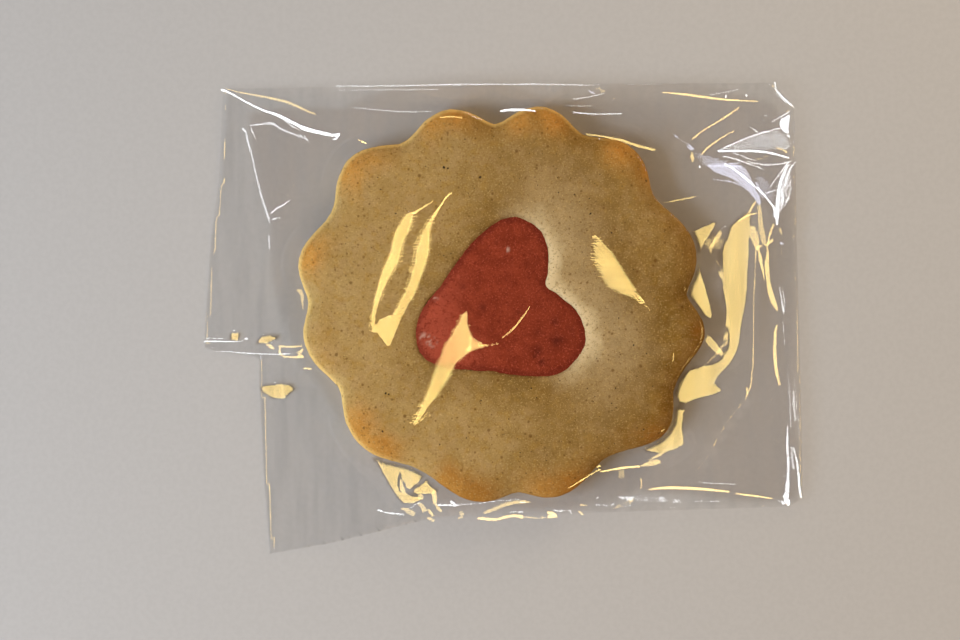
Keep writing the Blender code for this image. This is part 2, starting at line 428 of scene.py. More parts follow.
# The plain dough, browned towards its scallops
dough = {
    "voxel": 0.42,  # mm between the points of the skin
    "swells": ((14.0, 0.09), (5.0, 0.030), (2.2, 0.022), (1.1, 0.018)),  # wave length and height, mm
    "onWalls": 0.35,  # how much of them shows on the side walls
    "rim": ((4.0, 0.10), (1.6, 0.07)),  # the same for the cut edge
    "pits": 260,
    "pitsWithin": 43,  # mm from the middle
    "pitWidth": (0.25, 0.55),
    "pitDepth": (0.04, 0.16),
    "marks": (  # dents that show: pixel column and row, width and depth in mm
        (594, 165, 0.7, 0.25), (634, 216, 0.8, -0.12), (607, 212, 1.2, 0.15), (617, 230, 1.0, 0.14),
        (663, 317, 0.6, -0.1), (446, 168, 0.9, 0.12), (480, 177, 0.6, 0.15), (529, 384, 0.5, 0.14),
        (612, 356, 0.5, 0.1), (580, 250, 1.0, 0.08), (668, 235, 1.4, 0.1), (560, 470, 1.2, 0.08),
        (400, 146, 1.1, 0.22), (355, 149, 0.8, -0.15), (345, 192, 1.2, 0.12), (660, 380, 0.6, 0.10),
    ),
}
# How strongly each scallop is browned, by its angle, and where the notches lie
browning = {
    "angle": (-38, -8, 16, 49, 78, 106, 137, 167, 192, 224, 262, 288),
    "share": (0.60, 0.35, 0.30, 0.60, 1.0, 1.0, 1.0, 1.0, 0.40, 1.25, 1.20, 1.0),
    "notches": (3, 35, 64, 92, 121, 152, 180, 208, 243, 275, 303, 334),
    "notchWidth": (3.0, 12.0),  # degrees on each side of a notch where it catches less heat than a lobe
    "inNotch": 0.2,  # and how much it catches
    "band": (8.5, 1.5),  # mm from the edge where the brown starts and where it is full
    "wander": ((7.0, 1.6), (2.2, 0.7)),  # wave length and height of its uneven border
    "strength": (0.50, 0.62),  # of the band and of the patches
    "mottle": 0.25,
    "patchFall": 1.3,  # how fast a patch fades out past its width
    "patchWander": 0.12,
    "burnt": (0.15, 0.60),  # how dark the brown is outside the patches, and how much darker at the right
    "burntAcross": (-20, 30),  # mm from the middle, where it gets darker
    "patches": (  # the deepest brown: pixel column and row, width in px, and how dark it is
        (308, 258, 17, 0.0), (345, 172, 20, 0.0), (425, 121, 17, 0.1), (452, 113, 12, 0.1),
        (516, 120, 15, 0.1), (552, 120, 17, 0.2), (620, 150, 16, 0.1), (650, 172, 13, 0.2),
        (357, 425, 22, 0.2), (382, 450, 20, 0.3), (448, 484, 20, 0.6), (478, 491, 22, 0.8),
        (540, 488, 20, 0.5), (570, 484, 20, 0.6), (655, 436, 14, 0.9), (685, 395, 10, 1.0),
        (698, 330, 9, 1.0), (612, 470, 12, 0.9),
    ),
}
# The tone of the face, with painted light and shade. Pairs are mm from the middle or the heart where it
# starts and where it is full.
tone = {
    "deep": (-38, 38),  # darker towards the right, from left to right: partly the dough's own browner tone, partly painted shade
    "lean": 0.18,  # how much its border leans with the height in the picture
    "wander": 6,  # mm
    "ring": (11, 0.3),  # a painted shade round the heart, open at its right side
    "ringShare": 0.58,
    "rightSide": 15,  # degrees, the middle of the heart's right side, where the dough is painted paler and lit
    # beside the heart's right side a pale halo and a broader glow: partly paler dough, partly painted light
    # on the raised dough there
    "paleLitHalo": (5.5, 0.5),
    "paleLitGlow": (22, 3),
    "paleAndLitShares": (0.66, 0.34),  # how strong the pale, lit halo and the broader glow are
    "lighter": (33, 20, 0.45),  # degrees, a lighter lobe: its middle, half its width, and how much
    "lighterFrom": (22, 40),
    "creviceShade": (1.0, 0.25),  # painted shade in the line along the heart
    "creviceOpen": 0.75,  # how much of it is missing at the right side
    "rimLight": (1.3, 0.2),  # mm from the edge, the lit rim
    "rimLightAt": 150,  # degrees
}


def doughRelief(mesh):
    points, up, facing = startRelief(mesh)
    wall = dough["onWalls"]
    rise = waves(points, dough["swells"], 1) * (wall + (1 - wall) * facing)
    rise += waves(points, dough["rim"], 6) * (1 - facing)
    rng = random.Random(11)
    marks = list(dough["marks"])
    for _ in range(dough["pits"]):
        turn, away = rng.uniform(-math.pi, math.pi), dough["pitsWithin"] * math.sqrt(rng.random())
        column = photo["biscuitMiddle"][0] + away * math.cos(turn) / photo["mmPerPixel"]
        row = photo["biscuitMiddle"][1] - away * math.sin(turn) / photo["mmPerPixel"]
        marks.append((column, row, rng.uniform(*dough["pitWidth"]), rng.uniform(*dough["pitDepth"])))
    for column, row, width, depth in marks:
        rise -= depth * hollow(points, column, row, width) * facing
    endRelief(mesh, points, up, rise, -biscuit["seam"])


def paintBrowning(mesh, points, angles, inside):
    degrees = np.degrees(angles)
    lobe = np.interp(degrees, browning["angle"], browning["share"], period=360)
    fromNotch = np.abs((degrees[:, None] - np.array(browning["notches"]) + 180) % 360 - 180).min(axis=1)
    least = browning["inNotch"]
    crown = least + (1 - least) * smoothStep(fromNotch, *browning["notchWidth"])
    wave = waves(points, browning["wander"], 31)
    band = smoothStep(inside + wave, *browning["band"]) * crown
    deepest = np.zeros(len(points))
    burnt = np.zeros(len(points))
    for column, row, size, dark in browning["patches"]:
        away = fromPixel(points, column, row) / (size * photo["mmPerPixel"])
        patch = np.exp(-browning["patchFall"] * (away + browning["patchWander"] * wave).clip(0) ** 2)
        burnt = np.where(patch > deepest, dark, burnt)
        deepest = np.maximum(deepest, patch)
    bandShare, patchShare = browning["strength"]
    speckled = 1 + browning["mottle"] * ripple(points, 1.3, 35)
    paint(mesh, "toast", np.clip((bandShare * band * lobe + patchShare * deepest) * speckled, 0, 1))
    least, more = browning["burnt"]
    elsewhere = least + more * smoothStep((points[:, 0] - centre[0]) / mm, *browning["burntAcross"])
    paint(mesh, "burnt", np.where(deepest > 0.02, burnt, elsewhere))


def towards(angles, degrees, low, high):
    # 1 on that side of the biscuit's middle, 0 on the other
    return smoothStep(np.cos(angles - math.radians(degrees)), low, high)


def paintTone(mesh, points, angles, radii):
    east, north = ((points[:, :2] - centre) / mm).T
    fromHeart = radii - along(heartEdge, angles)
    rightSide = towards(angles, tone["rightSide"], 0.1, 0.9)
    # darker towards the right: partly the dough's own browner tone, partly painted shade
    deep = smoothStep(east + tone["wander"] * ripple(points, 14.0, 34) + tone["lean"] * north, *tone["deep"])
    at, wide, share = tone["lighter"]
    lobe = np.exp(-(((np.degrees(angles) - at) / wide) ** 2)) * smoothStep(radii, *tone["lighterFrom"])
    deep *= 1 - share * lobe
    # painted shade round the heart, left out at its right side
    ring = smoothStep(fromHeart + 1.2 * ripple(points, 3.0, 37), *tone["ring"]) * (1 - rightSide)
    paint(mesh, "deep", np.clip(deep + tone["ringShare"] * ring * (1 - 0.3 * deep), 0, 1))
    # a paler zone beside the heart's right side: partly paler dough, partly painted light on the raised
    # dough there
    ragged = 1.3 * ripple(points, 4.0, 33) + 0.8 * ripple(points, 1.1, 38)
    paleLitHalo = smoothStep(fromHeart + ragged, *tone["paleLitHalo"]) * (0.05 + 0.95 * rightSide)
    paleLitGlow = smoothStep(fromHeart + 2 * ripple(points, 6.0, 36), *tone["paleLitGlow"]) * rightSide
    haloShare, glowShare = tone["paleAndLitShares"]
    paint(mesh, "pale", np.clip(paleLitHalo * haloShare + paleLitGlow * glowShare, 0, 1))
    # painted shade in the line along the heart, weaker at its right side
    creviceShade = smoothStep(fromHeart + 0.35 * ripple(points, 0.9, 39), *tone["creviceShade"])
    creviceShade *= 0.75 + 0.5 * ripple(points, 2.0, 40)
    paint(mesh, "creviceShade", np.clip(creviceShade * (1 - tone["creviceOpen"] * rightSide), 0, 1))


def doughColours(mesh):
    points = readMesh(mesh, "co")
    angles, radii = fromCentre(points)
    inside = along(doughEdge, angles) - radii
    paintBrowning(mesh, points, angles, inside)
    paintTone(mesh, points, angles, radii)
    lit = towards(angles, tone["rimLightAt"], -0.3, 0.6)
    paint(mesh, "rimLight", smoothStep(inside, *tone["rimLight"]) * lit)


doughTints = {
    "sand": (0.545, 0.372, 0.148, 1),
    "sandDark": (0.46, 0.300, 0.105, 1),
    "deep": (0.268, 0.149, 0.031, 1),
    "deepDark": (0.205, 0.110, 0.020, 1),
    "beige": (0.515, 0.345, 0.160, 1),
    "golden": (0.46, 0.265, 0.050, 1),
    "toasted": (0.70, 0.345, 0.078, 1),
    "toastedDark": (0.56, 0.250, 0.046, 1),
    "burnt": (0.33, 0.142, 0.023, 1),
    "litCream": (0.85, 0.69, 0.42, 1),
    "rimLight": (0.95, 0.66, 0.24, 1),
    "creviceShade": (0.15, 0.062, 0.018, 1),
    "bran": (0.15, 0.065, 0.014, 1),
    "crumbDark": (0.22, 0.115, 0.026, 1),
    "crumbLight": (0.92, 0.68, 0.29, 1),
}
# Masks for them: the scale and detail of the noise, where it starts and ends to count, and its roughness
doughPatches = {
    "body": (190, 3, 0.30, 0.70),
    "beige": (340, 2, 0.44, 0.66),
    "golden": (560, 2, 0.50, 0.70),
    "toast": (420, 3, 0.3, 0.7),
    "between": (1500, 3, 0.50, 0.70, 0.8),
    "onTop": (2700, 2, 0.52, 0.72, 0.75),
}
doughFinish = {"grain": 2000, "relief": 0.10, "roughness": (0.70, 0.88), "shine": 0.05}
calmTone = (0.44, 0.20)  # how strongly the face is mottled at its paler left and at its darker right side


def flecks(tree, place, scale, size, spread, strength):
    # round flecks of uneven size, one for each cell of the pattern
    cells = node(tree, "ShaderNodeTexVoronoi", Vector=place, Scale=scale, Randomness=1.0)
    tall = node(tree, "ShaderNodeSeparateColor", Color=cells.outputs["Color"]).outputs["Red"]
    inner = maths(tree, "SUBTRACT", span(tree, tall, 0.45, 1.0, 0.0, size), cells.outputs["Distance"])
    return maths(tree, "MULTIPLY", span(tree, inner, -spread, spread), strength)


def makeDoughMaterial():
    material, tree = newMaterial("bakedShortbread")
    place = placeIn(tree)
    tint = doughTints
    masks = {name: patchy(tree, place, *sizes) for name, sizes in doughPatches.items()}
    body = mixed(tree, masks["body"], tint["sand"], tint["sandDark"])
    # the colour of the darker right side and of the painted shade round the heart: partly browner dough,
    # partly painted shade
    brownerShaded = mixed(tree, masks["body"], tint["deep"], tint["deepDark"])
    body = mixed(tree, attribute(tree, "deep"), body, brownerShaded)
    calm = span(tree, attribute(tree, "deep"), 0.0, 1.0, *calmTone)
    for name in ("beige", "golden"):
        body = layered(tree, body, masks[name], calm, tint[name])
    crust = layered(tree, tint["toasted"], masks["toast"], 0.7, tint["toastedDark"])
    crust = mixed(tree, attribute(tree, "burnt"), crust, tint["burnt"])
    body = mixed(tree, attribute(tree, "toast"), body, crust)
    # painted light beside the heart, partly paler dough
    body = mixed(tree, attribute(tree, "pale"), body, tint["litCream"])
    # painted light on the lit rim, and painted shade in the line along the heart
    body = painted(tree, body, tint, (("rimLight", 0.8, "rimLight"), ("creviceShade", 0.7, "creviceShade")))
    # the grain of the crumb: dark between, light on top
    body = layered(tree, body, masks["between"], 0.62, tint["crumbDark"])
    body = layered(tree, body, masks["onTop"], 0.32, tint["crumbLight"])
    # brown flecks of bran, many fine ones and a few broad ones
    fine = flecks(tree, place, 820, 0.24, 0.06, 0.55)
    broad = flecks(tree, place, 330, 0.13, 0.05, 0.65)
    body = mixed(tree, maths(tree, "MAXIMUM", fine, broad), body, tint["bran"])
    crumbly(tree, place, body, doughFinish)
    return material


def makeDough():
    mesh = remeshed("plain_dough", dough["voxel"])
    doughRelief(mesh)
    doughColours(mesh)
    piece = addPiece("plain_dough_skin", mesh, makeDoughMaterial(), ["plain_dough"])
    print("plain dough", len(mesh.vertices))
    return piece


# The raspberry heart
heart = {
    "voxel": 0.34,
    "swells": ((9.0, 0.07), (3.0, 0.040), (1.1, 0.026)),
    "onWalls": 0.3,
    "dents": (  # pressed spots, with painted shade as dark as they are deep: pixel column and row, width and depth in mm
        (557, 341, 1.7, 0.16), (537, 351, 1.2, 0.14), (539, 333, 1.0, 0.08), (555, 322, 1.0, 0.08),
        (520, 312, 1.0, 0.06), (541, 362, 0.9, 0.16), (482, 309, 1.4, 0.09), (571, 331, 1.0, 0.06),
        (508, 251, 0.5, -0.12), (434, 301, 0.5, 0.08), (470, 249, 0.7, 0.06), (496, 243, 0.8, 0.06),
        (535, 356, 0.6, 0.20), (467, 251, 0.5, 0.2), (462, 286, 0.9, 0.06), (450, 366, 1.0, 0.10),
    ),
    "fullShadeDepth": 0.125,  # mm, a dent this deep has its full painted shade
    "floury": ((425, 338, 1.6), (432, 342, 1.5), (436, 299, 0.8), (507, 250, 0.8)),
    "litSide": 195,  # degrees, the middle of the side with painted light
    "lightFrom": (6, 15),  # mm from the biscuit's middle, where it starts and where it is full
    "shade": (-4, 18),  # mm, the darker side, from left to right
    "rim": (1.9, 0.2),  # mm from its edge, the painted shade along its rounded border
    "rimWander": ((1.6, 0.6), (0.6, 0.5)),
}


def heartRelief(mesh):
    points, up, facing = startRelief(mesh)
    wall = heart["onWalls"]
    rise = waves(points, heart["swells"], 41) * (wall + (1 - wall) * facing)
    dark = np.zeros(len(points))
    for column, row, width, depth in heart["dents"]:
        dent = hollow(points, column, row, width)
        rise -= depth * dent * facing
        # painted shade in the dent, darker the deeper it is
        dark = np.maximum(dark, dent * min(1, max(depth, 0) / heart["fullShadeDepth"]))
    endRelief(mesh, points, up, rise, biscuit["seam"])
    paint(mesh, "dark", np.clip(dark * (0.8 + 0.5 * ripple(points, 0.9, 47)), 0, 1))
    heartColours(mesh, points)


def heartColours(mesh, points):
    angles, radii = fromCentre(points)
    flour = np.zeros(len(points))
    for column, row, width in heart["floury"]:
        flour = np.maximum(flour, smoothStep(fromPixel(points, column, row) / width, 1.1, 0.2))
    paint(mesh, "flour", flour * smoothStep(ripple(points, 0.7, 48), -0.15, 0.35))
    # painted light on the heart's left side, which faces the lamps
    litSide = towards(angles, heart["litSide"], 0.3, 0.95)
    paint(mesh, "light", litSide * smoothStep(radii, *heart["lightFrom"]))
    paint(mesh, "shade", smoothStep((points[:, 0] - centre[0]) / mm, *heart["shade"]))
    # painted shade along the rounded border, weaker on the lit side
    inside = along(heartEdge, angles) - radii
    rim = smoothStep(inside + waves(points, heart["rimWander"], 49), *heart["rim"])
    paint(mesh, "rim", np.clip(rim * (0.95 - 0.25 * litSide), 0, 1))


heartTints = {
    "red": (0.335, 0.055, 0.024, 1),
    "redDark": (0.24, 0.036, 0.014, 1),
    "spot": (0.105, 0.014, 0.007, 1),
    "rim": (0.16, 0.020, 0.009, 1),
    "pink": (0.63, 0.130, 0.078, 1),
    "grain": (0.17, 0.020, 0.008, 1),
    "flour": (0.70, 0.45, 0.36, 1),
}
heartFinish = {"grain": 2100, "relief": 0.10, "roughness": (0.62, 0.82), "shine": 0.06}


def makeHeartMaterial():
    material, tree = newMaterial("raspberryShortbread")
    place = placeIn(tree)
    tint = heartTints
    body = mixed(tree, patchy(tree, place, 260, 4, 0.32, 0.70), tint["red"], tint["redDark"])
    # painted shade on the heart's right side and painted light on its left side
    body = painted(tree, body, tint, (("shade", 0.55, "redDark"), ("light", 0.42, "pink")))
    # painted shade along the border and in the dents
    body = painted(tree, body, tint, (("rim", 0.80, "rim"), ("dark", 0.85, "spot")))
    body = layered(tree, body, patchy(tree, place, 1500, 3, 0.48, 0.70, 0.8), 0.74, tint["grain"])
    body = layered(tree, body, patchy(tree, place, 2600, 2, 0.52, 0.72, 0.75), 0.48, tint["pink"])
    body = painted(tree, body, tint, (("flour", 0.80, "flour"),))
    crumbly(tree, place, body, heartFinish)
    return material


def makeHeart():
    mesh = remeshed("raspberry_heart", heart["voxel"])
    heartRelief(mesh)
    material = makeHeartMaterial()
    piece = addPiece("raspberry_heart_skin", mesh, material, ["raspberry_heart"])
    print("raspberry heart", len(mesh.vertices))
    return piece


def treeOf(piece):
    bm = bmesh.new()
    bm.from_mesh(piece.data)
    found = BVHTree.FromBMesh(bm)
    bm.free()
    return found


def lookDown(solid, x, y):
    # the place and the normal of its surface there
    return solid.ray_cast(Vector((x, y, rayStart)), Vector((0, 0, -1)))[:2]


# Dark vanilla specks, pressed into the face
specks = {
    "shown": (  # pixel column and row, size in mm
        (386, 393, 0.40), (389, 394, 0.36), (383, 431, 0.38), (404, 427, 0.34), (396, 214, 0.34),
        (444, 168, 0.55), (448, 169, 0.45), (480, 178, 0.50), (558, 193, 0.36), (618, 318, 0.36),
        (633, 345, 0.34), (531, 388, 0.40), (615, 388, 0.36), (611, 403, 0.36), (465, 140, 0.34),
        (381, 190, 0.30), (520, 452, 0.30), (546, 460, 0.30), (607, 462, 0.36), (643, 429, 0.34),
        (590, 214, 0.40), (611, 233, 0.40), (646, 181, 0.40), (440, 444, 0.26), (574, 195, 0.3),
    ),
    "scattered": 330,
    "size": (0.10, 0.24),  # mm across
    "within": 42.5,  # mm from the middle
    "clear": 1.2,  # mm from the heart
    "radius": 0.6,  # against its size, before it is stretched
    "long": (0.8, 1.5),
    "wide": (0.7, 1.1),
    "tall": 0.4,
    "uneven": (0.8, 1.15),
    "sunk": 0.06,
    "tints": ((0.020, 0.010, 0.004, 1), (0.07, 0.030, 0.008, 1)),
    "roughness": 0.8,
}


def makeSpecks(ground):
    rng = random.Random(5)
    places = [(*atPixel(column, row), size) for column, row, size in specks["shown"]]
    while len(places) < len(specks["shown"]) + specks["scattered"]:
        turn, away = rng.uniform(-math.pi, math.pi), specks["within"] * math.sqrt(rng.random())
        if away < along(heartEdge, turn) + specks["clear"]:
            continue
        x, y = centre + np.array((math.cos(turn), math.sin(turn))) * away * mm
        places.append((x, y, rng.uniform(*specks["size"])))
    bm = bmesh.new()
    for x, y, size in places:
        spot, up = lookDown(ground, x, y)
        if spot is None:
            continue
        made = bmesh.ops.create_icosphere(bm, subdivisions=1, radius=specks["radius"] * size * mm)["verts"]
        stretch = (rng.uniform(*specks["long"]), rng.uniform(*specks["wide"]), specks["tall"])
        bmesh.ops.scale(bm, verts=made, vec=stretch)
        for v in made:
            v.co *= rng.uniform(*specks["uneven"])
        turn = up.to_track_quat("Z", "Y").to_matrix()
        bmesh.ops.rotate(bm, verts=made, cent=(0, 0, 0), matrix=turn)
        bmesh.ops.translate(bm, verts=made, vec=spot - up * size * mm * specks["sunk"])
    material, tree = newMaterial("vanillaSpeck")
    mottle = patchy(tree, placeIn(tree), 300, 1, 0.4, 0.6)
    matte(tree, mixed(tree, mottle, *specks["tints"]), specks["roughness"])
    addPiece("vanilla_specks", meshOf(bm, "vanilla_specks"), material)
    print("specks", len(places))


# The film: one closed sheet drawn over the biscuit and under it
film = {
    "cell": 0.50,  # mm between the points of the sheet
    "under": 1.0,  # and of the part beneath
    "solve": 0.25,  # mm between the points where its height is worked out
    "margin": 2,  # mm of that grid outside the bag
    "clearance": 0.10,
    "rest": 0.30,  # mm above the floor where it lies flat
    "dough": 48,  # mm from the biscuit's middle, outside which no dough lies under it
    "overDough": 1.0,  # mm above its rest, from which it counts as lying on the dough
    "around": 6,  # px round a fold in which its slope is worked out
    "belowEdge": 0.25,  # mm that its edge lies under the edge of the solid
    "load": (0.10, 0.012),  # how strongly slack film curves down beside and on the biscuit, per mm
    "cling": 0.002,  # how strongly it is drawn onto the biscuit, per mm
    "stiff": {"level": 60, "sun": 700, "pane": 300, "sky": 200},  # how firmly a fold keeps its slope
    "firm": 1000.0,  # how firmly it is held where it touches down
    "touch": 1e-4,  # mm, how near that is
    "settled": 1e-10,  # what is left of its pull when it has settled
    "ragged": ((0.9, 0.10), (0.4, 0.08)),  # wave length and height of a fold's outline on the crumb, mm
    "raggedOn": (47, 43),  # mm from the biscuit's middle, where the crumb starts to show in it
    "brim": (-0.4, 2.4, 0.42),  # mm from the biscuit's edge where the film leaves it, and its slope there
    "brimHold": 4,
    "taut": 12,  # how firmly it stays level over the biscuit's face
    # mm above the floor where it lies level beside the biscuit, and how firmly it is held there
    "lying": (0.75, 0.5),
    "rounds": ((12, 60), (8, 80), (8, 100), (6, 200)),  # of touching down and of settling, coarse to fine
    "hem": 0.12,  # mm between its upper and its lower layer at the edge
    "beneath": -0.06,  # mm, the height of the layer under the biscuit
    "share": 0.04,  # how much of the light a layer mirrors
    "edgeOn": 0.25,  # and how much more edge on
    "roughness": 0.045,
    "drawn": (1.0, 0.10, 0.3),  # its haze is drawn out sideways, across the bag
    "sides": (0.45, 1.6),  # how high the left and the right edge stand against the solid's
    "dull": (  # where it is too crumpled or smeared to mirror: pixel column and row, radius in px
        (748, 404, 7), (428, 415, 3.2), (409, 209, 4.5), (740, 414, 7), (731, 425, 8), (722, 437, 8),
        (712, 452, 9), (705, 464, 7), (640, 499, 9), (655, 500, 9), (670, 501, 9), (685, 501, 9),
        (683, 142, 9), (718, 268, 6), (719, 284, 6), (725, 330, 5), (722, 342, 5), (599, 90, 5),
        (626, 506, 8),
    ),
    "dullShare": 0.06,  # how much it still mirrors there
    "dullRim": (0.7, 1.2),  # mm on each side of the biscuit's edge that are as dull
    "filmShade": (  # where the film is tinted darker, as painted shade under the tented film: the outline in pixels
        (246, 112), (340, 106), (560, 104), (780, 106), (796, 160), (798, 500), (700, 497), (640, 492),
        (500, 505), (420, 500), (372, 458), (318, 385), (296, 355), (268, 250), (268, 218),
    ),
}
# Flat folds that mirror a lamp, and the parts that lie level: pixel row, left and right end along each
folds = {
    "level": (
        ((245, 757, 783), (300, 755, 785), (360, 755, 786), (385, 754, 786), (400, 748, 786),
         (415, 735, 786), (435, 722, 786), (455, 712, 786), (470, 700, 786), (484, 665, 786),
         (494, 640, 786)),
        ((98, 612, 765), (112, 640, 768), (128, 668, 770)),
    ),
    "sun": (
        ((213, 409, 415), (218, 404, 413.5), (225, 400.5, 411.5), (230, 397, 410), (235, 395, 407),
         (240, 394, 404.5), (245, 393, 402.5), (250, 391.5, 401.5), (255, 390.5, 400.5), (260, 389, 399.5),
         (265, 386, 397.5), (268, 384, 395.5), (272, 382.5, 393), (280, 380.5, 388.5), (290, 377.5, 384),
         (300, 375, 380.5), (310, 373, 378.5), (316, 372, 377), (324, 371.5, 377), (332, 372, 380)),
        ((215, 433.5, 437), (220, 430, 434), (225, 427, 432), (230, 424, 430.5), (235, 422, 430),
         (240, 420.5, 430), (245, 418.5, 430), (250, 417, 429.5), (255, 416, 428.5), (260, 415.5, 427.5),
         (265, 415, 425.5), (270, 413, 424), (275, 412, 422), (280, 411, 420.5), (285, 409.5, 418.5),
         (290, 407, 416.5), (295, 404, 414.5), (300, 401.5, 412), (305, 399, 409.5), (310, 396.5, 407),
         (315, 393.5, 404.5), (318, 385, 403), (320, 379, 402), (324, 376, 400.5), (329, 376, 398.5),
         (333, 378, 396.5), (336, 380, 395.3), (340, 383, 393.5), (343, 387, 392.5), (345, 391, 392)),
        ((305, 467.5, 468.5), (310, 466, 468), (318, 461, 468), (325, 457.8, 468.2), (331, 454, 469),
         (336, 451.7, 471.7), (340, 449.4, 477), (343, 447, 482), (346, 446, 481), (348, 445.3, 476),
         (350, 444, 470.5), (355, 441.7, 465), (360, 439.7, 458.3), (365, 438, 454.4), (370, 436, 451.7),
         (375, 434, 449.4), (380, 432.2, 447), (385, 430.5, 443), (395, 426.5, 437), (405, 421.5, 430),
         (415, 417, 423.5), (422, 414, 418), (427, 412.5, 414)),
        ((223.5, 711, 716), (226, 705, 713), (229, 698.5, 711), (232, 692, 709), (235, 693.5, 707.5),
         (240, 695.5, 705), (245, 697.5, 702), (250, 698.5, 700.3), (253, 698.8, 699.6)),
        ((213, 746, 750), (217, 742, 750), (222, 735.5, 750), (226, 731, 749.5), (230, 729.5, 749.5),
         (235, 728.5, 749.5), (240, 727, 749), (245, 724, 748.5), (250, 722.5, 748.5), (260, 722.7, 748),
         (270, 723.5, 748), (280, 724.7, 747.7), (290, 726, 747), (300, 727.7, 746.2), (310, 729.3, 744.5),
         (320, 730, 742), (330, 729.7, 740.7), (340, 729.5, 739.5), (345, 729, 738.5), (350, 727, 737),
         (354, 724, 735.5), (358, 722, 733.5), (362, 718, 731), (365, 713, 729), (367, 702, 727),
         (370, 690, 724), (373, 686, 721), (377, 682, 717), (380, 679.5, 714.5), (383, 677.5, 712),
         (386, 677.5, 716), (388, 677, 719.5), (390, 675, 721), (392, 674, 719.5), (394, 675, 714),
         (396, 676.5, 706), (398, 677.5, 698), (400, 678.5, 691), (402, 679, 687), (404, 679.5, 684),
         (408, 676.5, 683.4), (412, 673, 683), (416, 671.5, 682.5), (420, 670, 682), (425, 668.5, 681.8),
         (430, 666, 681.8), (435, 663, 682), (440, 658, 682.7), (443, 655, 683.5), (445, 651, 682),
         (447, 647, 678), (449, 641.5, 674), (451, 648, 667), (453, 658, 663)),
        ((264, 696, 697.2), (270, 694.5, 699.5), (275, 692.5, 700.5), (280, 690, 702), (285, 688, 703),
         (290, 686.3, 704.3), (293, 686.8, 705), (296, 689, 706), (300, 694, 707.3), (305, 697.5, 708.5),
         (310, 701, 710), (315, 704, 711), (317, 708, 711)),
        ((457, 373, 375), (461, 376, 384), (464, 378.5, 399), (467, 380, 410), (470, 382, 414),
         (473, 383.5, 399), (477, 386, 398.5), (482, 388.7, 398.3), (487, 391.5, 399), (491, 394, 400),
         (494, 396, 403), (497, 398, 421), (500, 400.5, 420), (502, 403, 415)),
        ((467, 402, 412.5), (470, 400.5, 415), (473, 400.5, 420), (476, 401.5, 422.5), (479, 402.5, 421),
         (482, 404, 417), (485, 406, 414.5), (488, 410, 413)),
        ((480, 426, 427.5), (483, 423.5, 429), (486, 419.5, 431), (489, 414, 436), (491, 412.5, 437.5),
         (493, 416, 434)),
        ((386, 263, 288), (388, 258.5, 292), (390, 258.5, 293.5), (393, 262, 289), (396, 267, 284.5),
         (399, 272, 279.5)),
        ((334, 228, 238), (337, 228.5, 237), (340, 229, 236)),
        ((337, 259, 275), (340, 256.5, 274), (343, 256, 262)),
    ),
    "pane": (
        ((109, 792.5, 794.3), (113, 788.5, 793), (117, 784, 792), (121, 782, 791.2), (126, 781.5, 790.6),
         (129, 783.5, 790.5), (133, 786.5, 790.7), (138, 789.2, 791.7), (146, 792, 794)),
    ),
    "sky": (
        ((163, 712, 742), (165, 706, 748), (168, 712, 750), (171, 714, 751.5), (174, 723, 753),
         (177, 730, 754), (180, 736.5, 755.5), (184, 743.5, 757), (188, 749, 758.5), (192, 753, 760.5),
         (196, 755, 763), (200, 757.5, 763.5), (204, 759.5, 764)),
    ),
}


def mirrorSlope(points, lampName):
    # the slope at which film at these places mirrors the lamp straight up to the viewer
    if lampName == "level":
        return np.zeros((len(points), 2))
    lamp = np.array(lampPlace(lampName)[0])
    eye = np.array(bpy.context.scene.camera.location)
    here = np.column_stack([points, np.full(len(points), view["faceHeight"] * mm)])
    toLamp, toEye = lamp - here, eye - here
    toLamp /= np.linalg.norm(toLamp, axis=1)[:, None]
    toEye /= np.linalg.norm(toEye, axis=1)[:, None]
    half = toLamp + toEye
    return -half[:, :2] / half[:, 2:]


def insideFold(points, rows, soft, ragged):
    # 1 inside the fold's outline, 0 outside
    step = photo["mmPerPixel"]
    column = photo["bagLeft"] + (points[:, 0] - bagLow.x) / mm / step
    row = photo["bagTop"] + (bagHigh.y - points[:, 1]) / mm / step
    levels, left, right = np.array(rows, float).T
    fromSides = np.minimum(column - np.interp(row, levels, left), np.interp(row, levels, right) - column)
    fromEnds = np.minimum(row - levels[0], levels[-1] - row)
    return smoothStep(np.minimum(fromSides, fromEnds) * step + ragged, -soft, soft)


def filmGrid(step):
    margin = film["margin"]
    xs = np.arange(bagLow.x / mm - margin, bagHigh.x / mm + margin + step, step)
    ys = np.arange(bagLow.y / mm - margin, bagHigh.y / mm + margin + step, step)
    return xs, ys


def resample(field, xs, ys, newXs, newYs):
    rows = np.array([np.interp(newXs, xs, line) for line in field])
    return np.array([np.interp(newYs, ys, rows[:, k]) for k in range(len(newXs))]).T


def groundUnderFilm(xs, ys, solids):
    low = np.full((len(ys), len(xs)), film["rest"])
    for j, y in enumerate(ys):
        for i, x in enumerate(xs):
            if math.hypot(x * mm - centre[0], y * mm - centre[1]) > film["dough"] * mm:
                continue
            for solid in solids:
                spot = lookDown(solid, x * mm, y * mm)[0]
                if spot is not None:
                    low[j, i] = max(low[j, i], spot.z / mm + film["clearance"])
    # it spans the rounded shoulder instead of following it
    meshX, meshY = np.meshgrid(xs, ys)
    angles, radii = fromCentre(np.stack([meshX.ravel() * mm, meshY.ravel() * mm], axis=1))
    bridge = np.where(radii < along(doughEdge, angles) + film["brim"][0], faceHeight(radii), 0)
    return np.maximum(low, bridge.reshape(low.shape))


